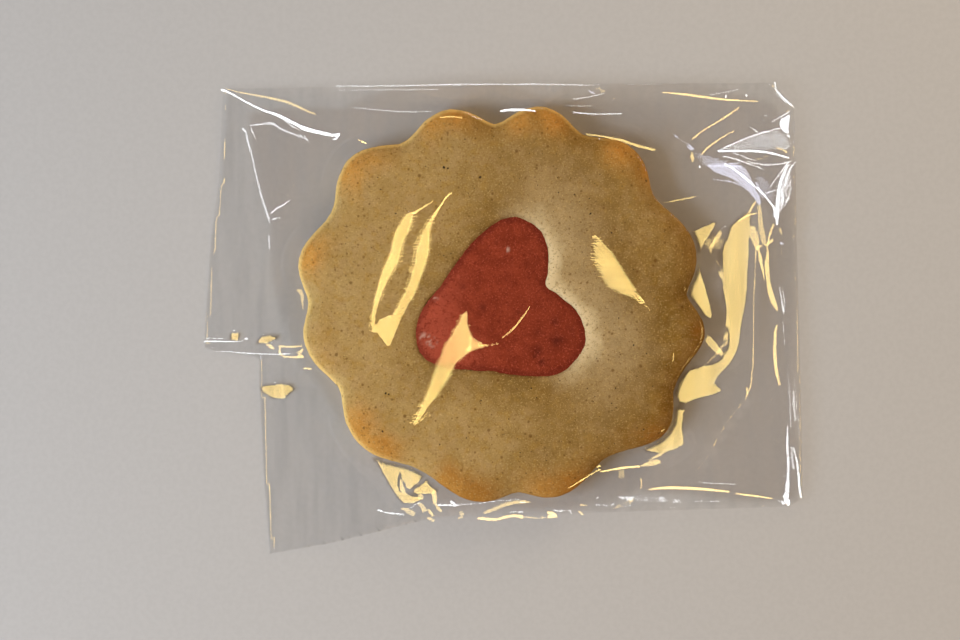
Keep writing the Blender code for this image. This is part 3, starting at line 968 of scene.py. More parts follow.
def wantedSlopes(points, step, shape):
    # the slopes that the folds ask for, and how firmly
    slope = np.zeros((len(points), 2))
    hold = np.ones(len(points))
    onCrumb = smoothStep(fromCentre(points)[1], *film["raggedOn"])
    ragged = waves(flattened(points), film["ragged"], 71) * onCrumb
    around = film["around"]
    for lampName, shapes in folds.items():
        facing = mirrorSlope(points, lampName)
        for rows in shapes:
            x0, y0 = atPixel(min(left for _, left, _ in rows) - around, rows[-1][0] + around)
            x1, y1 = atPixel(max(right for _, _, right in rows) + around, rows[0][0] - around)
            near = (points[:, 0] > x0) & (points[:, 0] < x1) & (points[:, 1] > y0) & (points[:, 1] < y1)
            share = insideFold(points[near], rows, 0.5 * step, ragged[near])
            slope[near] = slope[near] * (1 - share[:, None]) + facing[near] * share[:, None]
            hold[near] = np.maximum(hold[near], 1 + film["stiff"][lampName] * share)
    if len(shape) > 1:
        addBrim(points, slope, hold)
    return slope[:, 0].reshape(shape), slope[:, 1].reshape(shape), hold.reshape(shape)


def edgeHeight(angles):
    # the film's edge in mm, lower than the solid's where it lies flat at the left, higher at the right
    left, right = film["sides"]
    share = 1 + (left - 1) * smoothStep(-np.cos(angles), 0.2, 0.7)
    share += (right - 1) * smoothStep(np.cos(angles), 0.80, 0.95)
    return (along(bagEdge, angles, 3) - film["belowEdge"]) * share


def addBrim(points, slope, hold):
    # the film is level over the biscuit's face and bends down sharply at its edge, except in a fold
    inner, outer, fall = film["brim"]
    angles, radii = fromCentre(points)
    past = radii - along(doughEdge, angles)
    free = smoothStep(past, inner - 0.1, inner + 0.1) * smoothStep(past, outer + 0.6, outer) * (hold < 1.5)
    slope -= fall * np.column_stack([np.cos(angles), np.sin(angles)]) * free[:, None]
    hold += film["brimHold"] * free
    hold += film["taut"] * smoothStep(past, inner + 0.1, inner - 0.1) * (hold < 1.5)


def solveFilm(solids):
    # a taut skin over the biscuit with the folds' slopes, found coarse first and then finer
    xs, ys = filmGrid(film["solve"])
    ground = groundUnderFilm(xs, ys, solids)
    height = None
    for level, rounds in enumerate(film["rounds"]):
        step = film["solve"] * 2 ** (len(film["rounds"]) - 1 - level)
        gridXs, gridYs = filmGrid(step)
        low = resample(ground, xs, ys, gridXs, gridYs)
        meshX, meshY = np.meshgrid(gridXs, gridYs)
        points = np.stack([meshX.ravel() * mm, meshY.ravel() * mm], axis=1)
        angles, radii = fromCentre(points)
        free = (radii < along(bagEdge, angles)).reshape(meshX.shape)
        edge = edgeHeight(angles).reshape(meshX.shape)
        slopeX, slopeY, hold = wantedSlopes(points, step, meshX.shape)
        overBiscuit = low > film["rest"] + film["overDough"]
        cling = np.where(overBiscuit, film["cling"] * step * step, 0.0)
        aim = low.copy()
        for rows in folds["level"]:
            lying = insideFold(points, rows, 0.5 * step, 0).reshape(meshX.shape)
            cling = np.maximum(cling, film["lying"][1] * step * step * lying)
            aim = np.where(lying > 0, film["lying"][0], aim)
        if height is None:
            height = np.maximum(low, edge)
        else:
            height = np.maximum(resample(height, oldXs, oldYs, gridXs, gridYs), low)
        height = np.where(free, height, edge)
        load = np.where(overBiscuit, film["load"][1], film["load"][0]) * step * step
        height = relax(height, low, aim, slopeX * step, slopeY * step, hold, cling, load, free, rounds)
        oldXs, oldYs = gridXs, gridYs
    wrong = np.hypot(np.gradient(height, step, axis=1) - slopeX, np.gradient(height, step, axis=0) - slopeY)
    print("fold slopes are off by", np.percentile(wrong[hold > 0.9 * hold.max()], (50, 80, 95)).round(3))
    return xs, ys, height


def relax(height, low, aim, riseX, riseY, hold, cling, load, free, rounds):
    # conjugate gradients, with the places where the film touches down found again each round
    sideways = (hold[:, 1:] + hold[:, :-1]) / 2
    upwards = (hold[1:] + hold[:-1]) / 2

    def spread(out, flowX, flowY):
        # what flows between neighbours leaves one and reaches the other
        out[:, :-1] -= flowX
        out[:, 1:] += flowX
        out[:-1] -= flowY
        out[1:] += flowY
        return out

    def pull(field):
        flowX = sideways * (field[:, 1:] - field[:, :-1])
        flowY = upwards * (field[1:] - field[:-1])
        return spread(cling * field, flowX, flowY)

    leanX = sideways * (riseX[:, 1:] + riseX[:, :-1]) / 2
    leanY = upwards * (riseY[1:] + riseY[:-1]) / 2
    push = spread(cling * aim - load, leanX, leanY)
    total = cling.copy()
    total[:, :-1] += sideways
    total[:, 1:] += sideways
    total[:-1] += upwards
    total[1:] += upwards
    touch, settled, tiny = film["touch"], film["settled"], 1e-30
    touching = free & (height <= low + touch)
    for _ in range(rounds[0]):
        firm = np.where(touching, film["firm"], 0.0)
        left = np.where(free, push + firm * low - pull(height) - firm * height, 0.0)
        scale = 1 / (total + firm)
        eased = left * scale
        way = eased.copy()
        strength = (left * eased).sum()
        for _ in range(rounds[1]):
            drag = np.where(free, pull(way) + firm * way, 0.0)
            reach = strength / max((way * drag).sum(), tiny)
            height = height + reach * way
            left = left - reach * drag
            eased = left * scale
            before, strength = strength, (left * eased).sum()
            way = eased + strength / max(before, tiny) * way
            if strength < settled:
                break
        sinking = push - pull(height) < 0
        touching = free & ((touching & sinking) | (height < low - touch))
    return np.where(free, np.maximum(height, low), height)


def sampleFilm(solved, points):
    xs, ys, height = solved
    i = np.clip((points[:, 0] / mm - xs[0]) / (xs[1] - xs[0]), 0, len(xs) - 1.001)
    j = np.clip((points[:, 1] / mm - ys[0]) / (ys[1] - ys[0]), 0, len(ys) - 1.001)
    i0, j0 = i.astype(int), j.astype(int)
    fi, fj = i - i0, j - j0
    return (height[j0, i0] * (1 - fi) * (1 - fj) + height[j0, i0 + 1] * fi * (1 - fj)
            + height[j0 + 1, i0] * (1 - fi) * fj + height[j0 + 1, i0 + 1] * fi * fj)


def filmSheet(cell):
    # a flat grid cut to the bag's outline, its border drawn onto the outline
    bm = bmesh.new()
    wide, tall = (bagHigh.x - bagLow.x) / mm, (bagHigh.y - bagLow.y) / mm
    bmesh.ops.create_grid(bm, x_segments=round(wide / cell), y_segments=round(tall / cell), size=0.5)
    bmesh.ops.scale(bm, verts=bm.verts, vec=(wide * mm, tall * mm, 1))
    bmesh.ops.translate(bm, verts=bm.verts, vec=((bagLow.x + bagHigh.x) / 2, (bagLow.y + bagHigh.y) / 2, 0))
    angles, radii = fromCentre([v.co for v in bm.verts])
    reach = along(bagEdge, angles)
    outside = [v for v, r, far in zip(bm.verts, radii, reach) if r > far + 0.3 * cell]
    bmesh.ops.delete(bm, geom=outside, context="VERTS")
    border = [v for v in bm.verts if v.is_boundary]
    angles, radii = fromCentre([v.co for v in border])
    for v, angle, radius in zip(border, angles, radii):
        x, y = centre + (np.array(v.co)[:2] - centre) * along(bagEdge, angle) / radius
        v.co.x, v.co.y = x, y
    return bm


def refineFolds(bm):
    # finer faces where a fold starts or ends
    points = np.array([v.co for v in bm.verts])[:, :2]
    _, _, hold = wantedSlopes(points, 2.2 * film["cell"], (len(points),))
    busy = {v for v, h in zip(bm.verts, hold) if h > 1.02}
    faces = [f for f in bm.faces if any(v in busy for v in f.verts)]
    edges = list({e for f in faces for e in f.edges})
    bmesh.ops.subdivide_edges(bm, edges=edges, cuts=1, use_grid_fill=True)


filmTints = {
    "single": (0.995, 0.995, 0.995, 1),
    "filmShade": (0.957, 0.944, 0.934, 1),
    "pleat": (0.80, 0.76, 0.70, 1),
    "haze": (0.93, 0.93, 0.935, 1),
}


def filmShader(tree, tint, shine, roughness):
    # clear film: it mirrors a little straight on and much more edge on
    tree.nodes.remove(tree.nodes["Principled BSDF"])
    clear = node(tree, "ShaderNodeBsdfTransparent", Color=tint)
    gloss = node(tree, "ShaderNodeBsdfGlossy", Color=(1, 1, 1, 1), Roughness=roughness)
    facing = node(tree, "ShaderNodeLayerWeight", Blend=0.5).outputs["Facing"]
    steep = maths(tree, "MULTIPLY", maths(tree, "POWER", facing, 3.0), film["edgeOn"])
    both = node(tree, "ShaderNodeMixShader", Fac=maths(tree, "ADD", steep, shine))
    tree.links.new(clear.outputs[0], both.inputs[1])
    tree.links.new(gloss.outputs[0], both.inputs[2])
    tree.links.new(both.outputs[0], tree.nodes["Material Output"].inputs["Surface"])


def makeFilmMaterial():
    material, tree = newMaterial("clearFilm")
    drawn = node(tree, "ShaderNodeMapping", Vector=placeIn(tree), Scale=film["drawn"]).outputs["Vector"]
    # a darker tint as painted shade under the tented film
    tint = mixed(tree, attribute(tree, "filmShade"), filmTints["single"], filmTints["filmShade"])
    tint = mixed(tree, attribute(tree, "pleat"), tint, filmTints["pleat"])
    hazy = span(tree, noiseOf(tree, drawn, 420, 2), 0.35, 0.75, 0.0, 0.5)
    tint = mixed(tree, hazy, tint, filmTints["haze"])
    share = film["share"]
    shine = span(tree, noiseOf(tree, drawn, 300, 2), 0.3, 0.7, 0.9 * share, 1.15 * share)
    shine = maths(tree, "MULTIPLY", shine, attribute(tree, "bright"))
    filmShader(tree, tint, shine, film["roughness"])
    return material


def lowerLayer():
    # flat under the biscuit, and rising to the edge
    under = filmSheet(film["under"])
    angles, radii = fromCentre([v.co for v in under.verts])
    edge = edgeHeight(angles) - film["hem"]
    rim = along(doughEdge, angles)
    out = np.clip((radii - rim) / np.maximum(along(bagEdge, angles) - rim, 1e-6), 0, 1)
    for v, z, share in zip(under.verts, edge, out):
        v.co.z = (film["beneath"] + (z - film["beneath"]) * share**3) * mm
    bmesh.ops.reverse_faces(under, faces=under.faces)
    return meshOf(under, "lowerLayer")


def bothLayers(solved):
    # the layer over the biscuit and the one beneath, joined along the edge
    sheet = filmSheet(film["cell"])
    refineFolds(sheet)
    points = np.array([v.co for v in sheet.verts])
    edge = edgeHeight(fromCentre(points)[0])
    for v, z, rim in zip(sheet.verts, sampleFilm(solved, points), edge):
        v.co.z = (rim if v.is_boundary else z) * mm
    upperRim = [e for e in sheet.edges if e.is_boundary]
    already = set(sheet.edges)
    lower = lowerLayer()
    sheet.from_mesh(lower)
    bpy.data.meshes.remove(lower)
    lowerRim = [e for e in sheet.edges if e.is_boundary and e not in already]
    bmesh.ops.bridge_loops(sheet, edges=upperRim + lowerRim)
    bmesh.ops.recalc_face_normals(sheet, faces=sheet.faces)
    for face in sheet.faces:
        face.smooth = True
    return sheet


def paintFilm(mesh):
    # where the film is tinted darker as painted shade, where it is too crumpled to mirror, and where a pleat
    # dulls the floor
    points = readMesh(mesh, "co")
    angles, radii = fromCentre(points)
    cornerAngles, cornerRadii = fromCentre([atPixel(*corner) for corner in film["filmShade"]])
    order = np.argsort(cornerAngles)
    reach = along((cornerAngles[order], cornerRadii[order]), angles)
    paint(mesh, "filmShade", smoothStep(reach - radii, -0.6, 1.2))
    past = radii - along(doughEdge, angles)
    bright = smoothStep(np.abs(past + 0.1), *film["dullRim"])
    for column, row, size in film["dull"]:
        radius = size * photo["mmPerPixel"]
        bright = np.minimum(bright, smoothStep(fromPixel(points, column, row), 0.6 * radius, radius))
    least = film["dullShare"]
    paint(mesh, "bright", least + (1 - least) * bright)
    pleated = np.zeros(len(points))
    for rows in folds["sun"]:
        pleated = np.maximum(pleated, insideFold(points, rows, 0.15, 0.1))
    paint(mesh, "pleat", pleated * (past > 0))


def makeFilm(solids):
    solved = solveFilm(solids)
    print("film height found")
    mesh = meshOf(bothLayers(solved), "film_sheet")
    piece = addPiece("film_sheet", mesh, makeFilmMaterial(), ["film_bag"])
    paintFilm(piece.data)
    print("film", len(piece.data.vertices))
    return solved


# Sharp creases, laid as rows of small flat facets, each of which mirrors its lamp up to the viewer.
# Each starts with its shine against the plain film, then pixel column, row and half width along it.
creases = {
    "step": 0.85,  # mm, the length of a facet
    "above": 0.03,  # mm that it lies above the film
    "uneven": {"sun": 0.03, "pane": 0.012, "sky": 0.012},  # how much the facets' slopes differ
    "roughness": 0.06,
    "tip": 0.2,  # px, half the width of a pointed end
    "rowHeight": (1.8, 3.0),  # px
    "rowReach": (0.3, 1.2),  # how far the ends of the rows reach, against the reach of their fold
    "rowShine": (0.8, 1.15),
    "inset": 1.2,  # px from its end, where a row has its full height
    "hair": {  # the teeth, in px, with their length and lean against their reach
        "spacing": 2.6, "wander": 0.6, "root": 1.5, "width": (0.75, 1.05), "length": (0.45, 1.25),
        "lean": 0.15, "shine": 1.2,
    },
    "lines": {
        "sun": (
            (1.6, (434, 201.7, 0.3), (427, 205.7, 0.5), (420, 210.3, 0.7), (413.5, 214.5, 1.2)),
            (1.6, (452.5, 193.6, 0.9), (448.5, 195.5, 0.8), (445, 200, 0.7), (440, 207.5, 0.9),
             (434.5, 216, 1.3)),
            (1.1, (478, 344.5, 1.4), (484, 345.2, 1.1), (489, 345.3, 0.6)),
            (1.2, (491, 345, 0.5), (494, 344.8, 0.6)),
            (1.2, (496.3, 344, 0.7), (498, 343.2, 0.5)),
            (1.1, (502, 338, 0.4), (507, 334, 0.5), (510, 331.5, 0.8)),
            (1.2, (510.5, 331, 1.0), (515, 326.5, 1.1), (520, 320.5, 0.8), (525, 313.5, 0.6),
             (530, 306, 0.3)),
            (1.2, (637, 296, 0.9), (640.5, 299, 0.9), (643.3, 302.6, 0.6)),
            (1.0, (644.5, 305.5, 0.8), (646, 306.8, 0.6)),
            (0.9, (647, 308.6, 0.5), (648.4, 309.8, 0.4)),
            (0.9, (706, 337.5, 3.0), (712, 344.5, 4.0), (718, 350.5, 3.0), (723, 355, 2.0)),
            (1.4, (757.5, 201, 0.5), (752.5, 207, 0.6), (748.5, 213, 0.8)),
            (1.5, (757, 213, 0.6), (750, 214.5, 0.5), (742, 218.5, 0.6), (737, 221.5, 0.5)),
            (0.9, (752, 226, 2.0), (753, 233, 4.0), (756, 241, 3.8), (759.5, 248, 1.8), (761, 251, 0.6)),
            (0.7, (760.5, 205, 1.8), (760.8, 214, 2.0), (761.5, 224, 2.3), (763, 233, 3.0),
             (765.5, 240, 2.6), (767.5, 246, 0.8)),
            (1.2, (761, 251, 0.8), (762, 256, 1.6), (763, 263, 1.5), (765, 271, 1.0), (766.5, 279, 0.5)),
            (1.2, (770, 249, 0.6), (769.5, 257, 1.6), (768.5, 262, 2.2), (769, 270, 2.2), (770, 280, 1.9),
             (772, 290, 2.2), (774.5, 299, 3.0), (778, 307, 1.8), (779.8, 311, 0.5)),
            (1.4, (776, 223, 0.7), (773.5, 229, 0.8), (771, 236, 0.9), (770, 243, 0.7), (768.5, 249, 0.5)),
            (1.6, (749, 388, 0.6), (749.5, 394.5, 0.9)),
            (1.3, (779, 325, 0.5), (777.5, 333, 1.4), (777, 345, 1.6), (777.3, 357, 1.7), (778.5, 370, 1.6),
             (780.5, 380, 1.4), (782, 385.5, 0.8)),
            (1.0, (660, 453.5, 1.5), (653, 457.5, 0.8), (648, 460, 0.5)),
            (1.1, (641, 466, 0.8), (648, 463.5, 2.2), (655, 462, 3.0), (660, 461.5, 1.5)),
            (2.2, (600, 471.3, 0.5), (610, 469.8, 0.7), (620, 468, 1.0), (630, 467, 0.8), (640, 466.3, 0.8)),
            (0.4, (621, 470, 3.0), (622, 474, 3.4), (620, 478, 1.8)),
            (1.8, (568, 487.5, 0.3), (575, 483.5, 0.5), (585, 477, 0.6), (600, 468.5, 0.5)),
            (1.8, (596.5, 466.3, 0.8), (600, 465, 0.7)),
            (2.2, (650, 491, 0.4), (657, 489.8, 0.9), (670, 489, 1.2), (690, 489.5, 1.2), (705, 490.5, 1.2),
             (720, 492, 0.9), (731, 493.3, 0.5)),
            (2.0, (738, 495, 0.5), (750, 496.6, 0.9), (762, 498, 0.7), (775, 500, 0.4)),
            (1.2, (641, 479, 0.4), (643, 485, 0.6), (641.5, 489, 0.5)),
            (1.0, (434.5, 491, 2.2), (434.5, 496, 2.4), (435, 502, 2.0)),
            (0.9, (421.5, 494, 2.4), (420, 499, 2.6)),
            (0.8, (434, 502, 1.6), (438, 508, 1.6), (441, 512.5, 1.0)),
            (0.7, (419, 503, 1.5), (423, 507, 2.5), (425, 512, 2.4)),
            (0.9, (428, 510, 0.9), (431, 514, 1.4), (433, 517, 1.0)),
            (0.7, (401, 508, 0.7), (407, 510, 2.4), (412, 513, 2.8), (414, 515.5, 1.8)),
            (0.8, (427, 519, 0.9), (431, 520, 1.6), (434, 522, 0.9)),
            (0.6, (460, 512, 1.4), (463, 515, 1.8), (461, 518, 1.8), (458, 519, 0.9)),
            (0.8, (484, 513, 1.2), (492, 510, 1.5), (500, 506, 1.8), (508, 503.5, 1.8), (515, 502, 1.8),
             (522, 501.5, 1.6), (527, 501.5, 1.4), (530, 501.5, 0.6)),
            (1.6, (478, 519.5, 0.8), (484, 519.5, 1.5), (491, 520.6, 1.2), (498, 520.6, 1.0),
             (505, 518, 1.4), (512, 516.5, 1.2), (518, 516.5, 1.4), (523, 518.6, 1.6)),
            (1.7, (547, 513, 0.8), (552, 513.5, 1.4), (556, 515, 0.7)),
            (1.8, (548, 517.6, 1.2), (553, 516.8, 1.7), (557.5, 516.6, 1.0)),
            (1.6, (579, 512, 0.5), (582, 514.6, 1.2), (583.5, 515.6, 0.5)),
            (1.3, (580, 505, 0.4), (587, 505.5, 0.4)),
            (0.8, (522, 517.8, 0.3), (535, 519, 0.5), (546, 518.3, 0.4)),
            (1.0, (265, 345, 0.8), (270, 346.8, 2.3), (272, 349.5, 1.0)),
            (1.1, (277, 346.5, 0.7), (285, 346.7, 0.9), (292, 347, 0.9), (302, 345.5, 0.6)),
            (1.0, (279, 348, 1.0), (278.5, 351.5, 1.2), (280, 355, 1.0), (283, 356.5, 0.9)),
            (1.2, (283, 357, 0.7), (290, 357, 0.8), (297, 357.2, 1.0), (301, 355.8, 2.4), (304, 356.8, 1.3)),
            (1.0, (298, 353, 1.3), (302, 351.6, 1.8), (303, 348.6, 0.8)),
            (0.7, (297.5, 290, 0.8), (301, 291.6, 2.3), (303, 296, 1.6), (303, 303, 0.8), (303.4, 309, 0.4)),
            (1.6, (303.5, 368.5, 0.4), (307, 368.2, 0.6), (311, 368.8, 1.0)),
            (1.0, (224, 87, 0.3), (240, 91, 0.5), (255, 93.5, 0.7), (270, 96.5, 1.0), (285, 100, 1.1),
             (297, 105, 1.0), (307, 110, 0.7), (315, 112.5, 0.4)),
            (1.9, (664, 91, 0.4), (685, 92.6, 0.8), (700, 94.6, 1.0), (715, 96.6, 0.9), (728, 98, 0.8),
             (745, 98.8, 0.6), (760, 99.6, 0.3)),
            (1.6, (694, 137.5, 0.4), (705, 129, 0.4), (720, 120, 0.5), (730, 113.6, 0.6), (741, 106, 0.6)),
            (1.5, (703, 153.5, 0.4), (708, 147.6, 0.6), (715, 142, 0.5), (722, 137, 0.5), (736, 129.5, 0.4)),
            (1.0, (694, 151, 0.5), (693.6, 154, 1.8), (693.8, 158, 2.0), (694.5, 160.5, 0.9)),
            (1.2, (586, 135, 0.5), (604, 137.3, 0.8), (622, 141.2, 1.2), (640, 147, 1.3), (655, 150, 0.8)),
            (2.0, (358.5, 140, 0.4), (362, 141.8, 0.8), (366.5, 144, 0.4)),
            (1.3, (440, 118.4, 0.4), (450, 117.4, 0.5), (462, 118.4, 0.4)),
            (0.9, (664, 203, 0.3), (680, 199.8, 0.6), (691, 197.6, 0.5), (697, 195.5, 0.3)),
            (1.0, (672.3, 353, 0.4), (673, 358, 0.7), (672, 361, 0.4)),
            (0.9, (758, 158, 0.3), (764, 157.5, 0.4), (770, 154, 0.4)),
            (1.2, (778, 146.5, 0.4), (783, 147.5, 0.9), (789, 151.5, 0.6)),
        ),
        "pane": (
            (1.5, (219, 88, 0.5), (223, 89, 0.7), (232, 93.2, 0.6), (245, 100.6, 0.6), (260, 108, 0.8),
             (275, 113, 1.0), (285, 117.6, 1.1), (295, 123, 1.3), (303, 127, 1.8), (312, 129.6, 1.9),
             (322, 132, 1.5), (332, 134.3, 1.2), (336, 134.3, 1.6), (339, 132.6, 0.9)),
            (1.3, (338, 134, 0.9), (336, 137.5, 0.8), (332, 139, 0.4)),
            (0.5, (248, 123.6, 0.5), (258, 122.6, 0.9), (266, 121.6, 1.2), (271, 121.2, 1.7),
             (274, 124, 1.0), (280, 128, 1.0), (288, 131, 0.9), (296, 134, 0.7)),
            (1.0, (240, 127, 0.8), (243.5, 129, 0.8)),
            (0.7, (249, 127, 0.4), (251, 132, 0.6), (254, 137, 0.5)),
            (0.45, (243.5, 130, 0.7), (245.5, 138, 0.9), (246.5, 143, 0.7), (249, 150, 0.6), (252, 165, 0.6),
             (256, 182, 0.7), (260, 197, 0.9), (264, 210, 1.0), (267, 218, 1.1), (268, 221, 0.8)),
            (0.8, (269.5, 212, 0.4), (274, 208, 0.7), (282, 204, 0.5), (289, 198.5, 0.3)),
            (0.5, (271, 218, 0.4), (279, 217, 0.4)),
            (0.4, (267, 235, 0.5), (268, 250, 0.6)),
            (0.5, (276, 113, 0.4), (290, 124, 0.6), (299, 129, 0.4)),
            (0.3, (296, 134, 1.6), (303, 135.6, 1.8), (308, 141, 1.0)),
            (1.2, (243.5, 338.6, 1.1), (245, 339.6, 0.8)),
            (0.9, (201.5, 341, 0.4), (212, 341.6, 0.5), (222, 341.8, 0.4), (240, 341.4, 0.3)),
            (0.6, (202, 338.4, 0.3), (222, 338.9, 0.3)),
            (0.6, (214, 351.3, 0.3), (230, 352.2, 0.4), (245, 353.5, 0.5), (260, 354.4, 0.5),
             (275, 354.2, 0.4), (292, 354, 0.3)),
            (0.9, (377, 511.2, 0.6), (382, 512, 0.9)),
            (0.8, (384, 513.2, 0.5), (395, 514.4, 0.6), (404, 514.7, 0.4)),
            (0.6, (410, 508, 0.3), (416, 504, 0.4), (421, 501, 0.3)),
            (0.9, (450, 500.6, 0.6), (453, 503, 1.4), (456, 506, 0.8)),
            (0.5, (456, 503.6, 0.3), (475, 503.2, 0.3), (500, 500, 0.3), (519, 499, 0.3)),
            (0.6, (510, 512.5, 0.3), (523, 512.4, 0.4)),
            (0.6, (553, 510.6, 0.3), (559, 511.4, 0.7), (564, 510.6, 0.7)),
            (0.6, (569, 510.6, 0.5), (572, 514, 0.6)),
            (0.35, (785, 288, 0.4), (787, 302, 0.8), (786, 314, 0.4)),
            (0.28, (790, 366, 0.4), (792, 400, 0.7), (793, 428, 0.6)),
            (0.2, (796, 372, 0.4), (799, 410, 0.5), (801, 440, 0.4)),
            (0.4, (596, 505.2, 0.5), (603, 505.3, 0.4), (608, 507, 0.3)),
            (0.35, (610, 507, 0.4), (616, 503.4, 0.6)),
            (0.35, (626, 507.4, 0.4), (638, 505.4, 0.4)),
            (0.35, (694, 502, 0.3), (715, 503, 0.4), (724, 502.4, 0.3)),
            (0.4, (700, 483, 0.3), (712, 484.6, 0.4), (738, 485.8, 0.4)),
            (1.0, (597.5, 497.6, 0.9), (598, 498.6, 0.6)),
            (1.3, (500, 111.6, 0.8), (510, 110.4, 1.2), (522, 110.6, 1.0), (536, 112, 0.5)),
            (0.7, (572, 112.6, 0.5), (590, 113.8, 0.6), (606, 113.5, 0.5), (622, 112.6, 0.3)),
            (0.5, (335, 84.6, 0.4), (399, 84.6, 0.5), (470, 83.4, 0.6), (540, 83.4, 0.5), (600, 84.2, 0.3)),
            (0.3, (335, 88.4, 0.3), (399, 88.4, 0.4), (440, 88.6, 0.3)),
            (0.35, (350, 105.6, 0.4), (380, 109, 0.5), (399, 111.4, 0.5), (432, 112, 0.4)),
            (0.5, (573, 99, 0.4), (590, 96, 0.5), (606, 92, 0.3)),
            (0.4, (563, 106.3, 0.4), (591, 105.4, 0.4)),
            (0.8, (774, 120.5, 0.3), (784, 114.6, 0.5), (792, 110, 0.4)),
            (0.9, (721, 149, 0.4), (728, 145.6, 0.6), (740, 140, 0.7), (750, 136, 0.7), (763, 131.6, 0.8),
             (770, 130, 0.8), (781, 127, 0.6)),
            (1.6, (720, 149.6, 0.6), (735, 149.5, 0.9), (750, 149.4, 1.0), (760, 149.8, 1.0),
             (770, 151, 0.9), (780, 153.5, 0.8), (791, 157, 0.6)),
            (0.6, (735, 151, 0.4), (745, 154.6, 0.5), (752, 157.6, 0.5), (758, 159, 0.4)),
            (0.6, (725, 155, 0.7), (735, 156.6, 0.8), (745, 160, 0.8), (752, 163, 0.8), (760, 165.6, 0.8),
             (767, 169, 0.5)),
            (0.7, (750, 160, 0.5), (760, 162.6, 0.8), (772, 163.6, 0.9), (785, 162.6, 0.7), (793, 160, 0.5)),
            (1.3, (727, 163, 0.6), (735, 167, 0.8), (745, 175, 0.8), (753, 181.5, 0.8), (760, 187.5, 0.7),
             (766, 193, 0.6)),
            (1.2, (766, 194, 0.6), (770, 197.6, 0.8), (775, 205, 1.0), (778, 212, 1.2)),
            (0.6, (765, 193.5, 0.7), (772, 190.6, 1.0), (780, 188.6, 0.9)),
            (0.8, (790, 161, 0.6), (783, 171, 0.6), (777, 180, 0.5), (773, 185.6, 0.4)),
            (1.4, (789.5, 164, 0.6), (786, 172, 1.0), (783, 181, 1.3), (781, 190, 1.3), (780, 200, 1.3),
             (779, 212, 1.4), (779.4, 224, 0.9)),
            (0.8, (797, 161, 0.4), (792, 168, 0.8), (789, 176, 1.0), (787, 185, 0.8)),
            (0.7, (792, 180, 0.5), (793, 190, 0.6), (790, 198, 0.8), (786, 205, 0.9)),
            (0.8, (783, 188, 0.8), (785.5, 197, 1.0), (784, 205, 0.8)),
            (0.9, (795.5, 106, 0.3), (790, 101, 0.6), (783, 94.6, 0.7), (777, 88.6, 0.6), (776, 80, 0.4)),
            (0.5, (778, 92, 0.3), (786, 99.6, 0.4), (793, 103.5, 0.4)),
            (1.0, (748.2, 92.6, 0.5), (748.6, 95, 0.8)),
            (1.0, (727.5, 92, 0.5), (728, 96.6, 0.8)),
            (0.3, (712, 93, 0.6), (722, 91.6, 0.7), (740, 88, 0.4)),
            (0.6, (767.6, 113, 0.7), (769, 115.4, 0.5)),
            (0.5, (753, 126, 0.5), (757, 129, 0.9), (760, 131, 0.4)),
            (0.7, (782, 287, 0.3), (783.5, 298, 0.6), (785, 306, 0.7), (785.6, 311.6, 0.6)),
            (0.3, (785, 322, 0.3), (786, 335, 0.4), (787, 345, 0.3)),
            (1.0, (790, 427, 0.4), (789.6, 445, 1.0), (790.5, 460, 1.0), (790.6, 475, 1.1), (790, 485, 1.9),
             (789.2, 495, 2.1), (788.6, 500, 1.8)),
            (1.2, (786, 496.5, 1.4), (789.6, 502, 2.8), (791, 506.5, 1.0)),
            (0.5, (795.5, 391, 0.5), (796, 405, 1.0), (797.5, 421, 0.7)),
            (1.0, (796, 448, 0.4), (799, 462, 0.6), (800.5, 475, 0.8), (801.5, 488, 0.9), (803, 499, 0.9)),
            (0.35, (794, 448, 1.2), (794.6, 460, 1.6), (796, 470, 0.6)),
            (0.5, (788.6, 476, 0.8), (786.5, 478.4, 0.5)),
        ),
    },
    # folds that break up into fine rows: lamp, shine, reach at the left and the right in px, then pixel row,
    # left and right end along each
    "rows": (
        ("sun", 1.1, 5.5, 1.5, (236, 594, 597.5), (240, 596, 600.5), (245, 595.5, 605), (250, 595, 610),
         (255, 595, 613.5), (260, 596, 617), (265, 598.5, 620), (270, 600, 623.5), (275, 603, 626.5),
         (280, 607, 630), (285, 609, 633), (288, 616, 635), (290, 619, 636), (293, 625, 637.5),
         (295, 631, 638.5), (298, 637, 640.5), (302, 640.5, 643.5)),
        ("sun", 1.15, 0.0, 2.5, (337, 468, 473), (340, 469, 478), (343, 468, 483.5), (346, 466, 481),
         (349, 464, 474)),
        ("pane", 0.50, 2.0, 2.0, (163, 788, 793), (172, 784, 792), (182, 781, 791), (192, 779, 790),
         (200, 778, 787), (208, 777, 783), (216, 777, 780)),
        ("pane", 0.30, 4.0, 2.0, (130, 768, 782), (136, 752, 788), (142, 738, 790), (148, 724, 791)),
        ("sky", 0.5, 4.0, 3.0, (152, 700, 704), (157, 703, 720), (161, 706, 735), (164, 710, 742)),
        ("sky", 0.5, 2.0, 3.0, (176, 757, 765), (184, 762, 772), (192, 766, 775), (199, 770, 776)),
        ("sun", 0.45, 3.0, 6.0, (236, 713, 716), (240, 704, 722), (243, 704, 722), (247, 708, 716)),
    ),
    # teeth of the sun's folds: the fold's number, its side, first and last pixel row, reach in px
    "hairs": (
        (0, 1, 214, 232, 3.5), (0, 1, 232, 268, 4.0), (0, 1, 268, 300, 3.0), (0, -1, 215, 262, 2.5),
        (0, -1, 262, 330, 1.5),
        (1, -1, 217, 236, 3.0), (1, -1, 236, 262, 4.2), (1, -1, 262, 290, 4.5), (1, -1, 290, 320, 2.5),
        (1, 1, 217, 250, 2.5), (1, 1, 250, 300, 1.5),
        (2, -1, 316, 375, 3.0), (2, 1, 350, 400, 3.0), (2, -1, 375, 422, 3.2), (2, 1, 325, 340, 2.5),
    ),
}


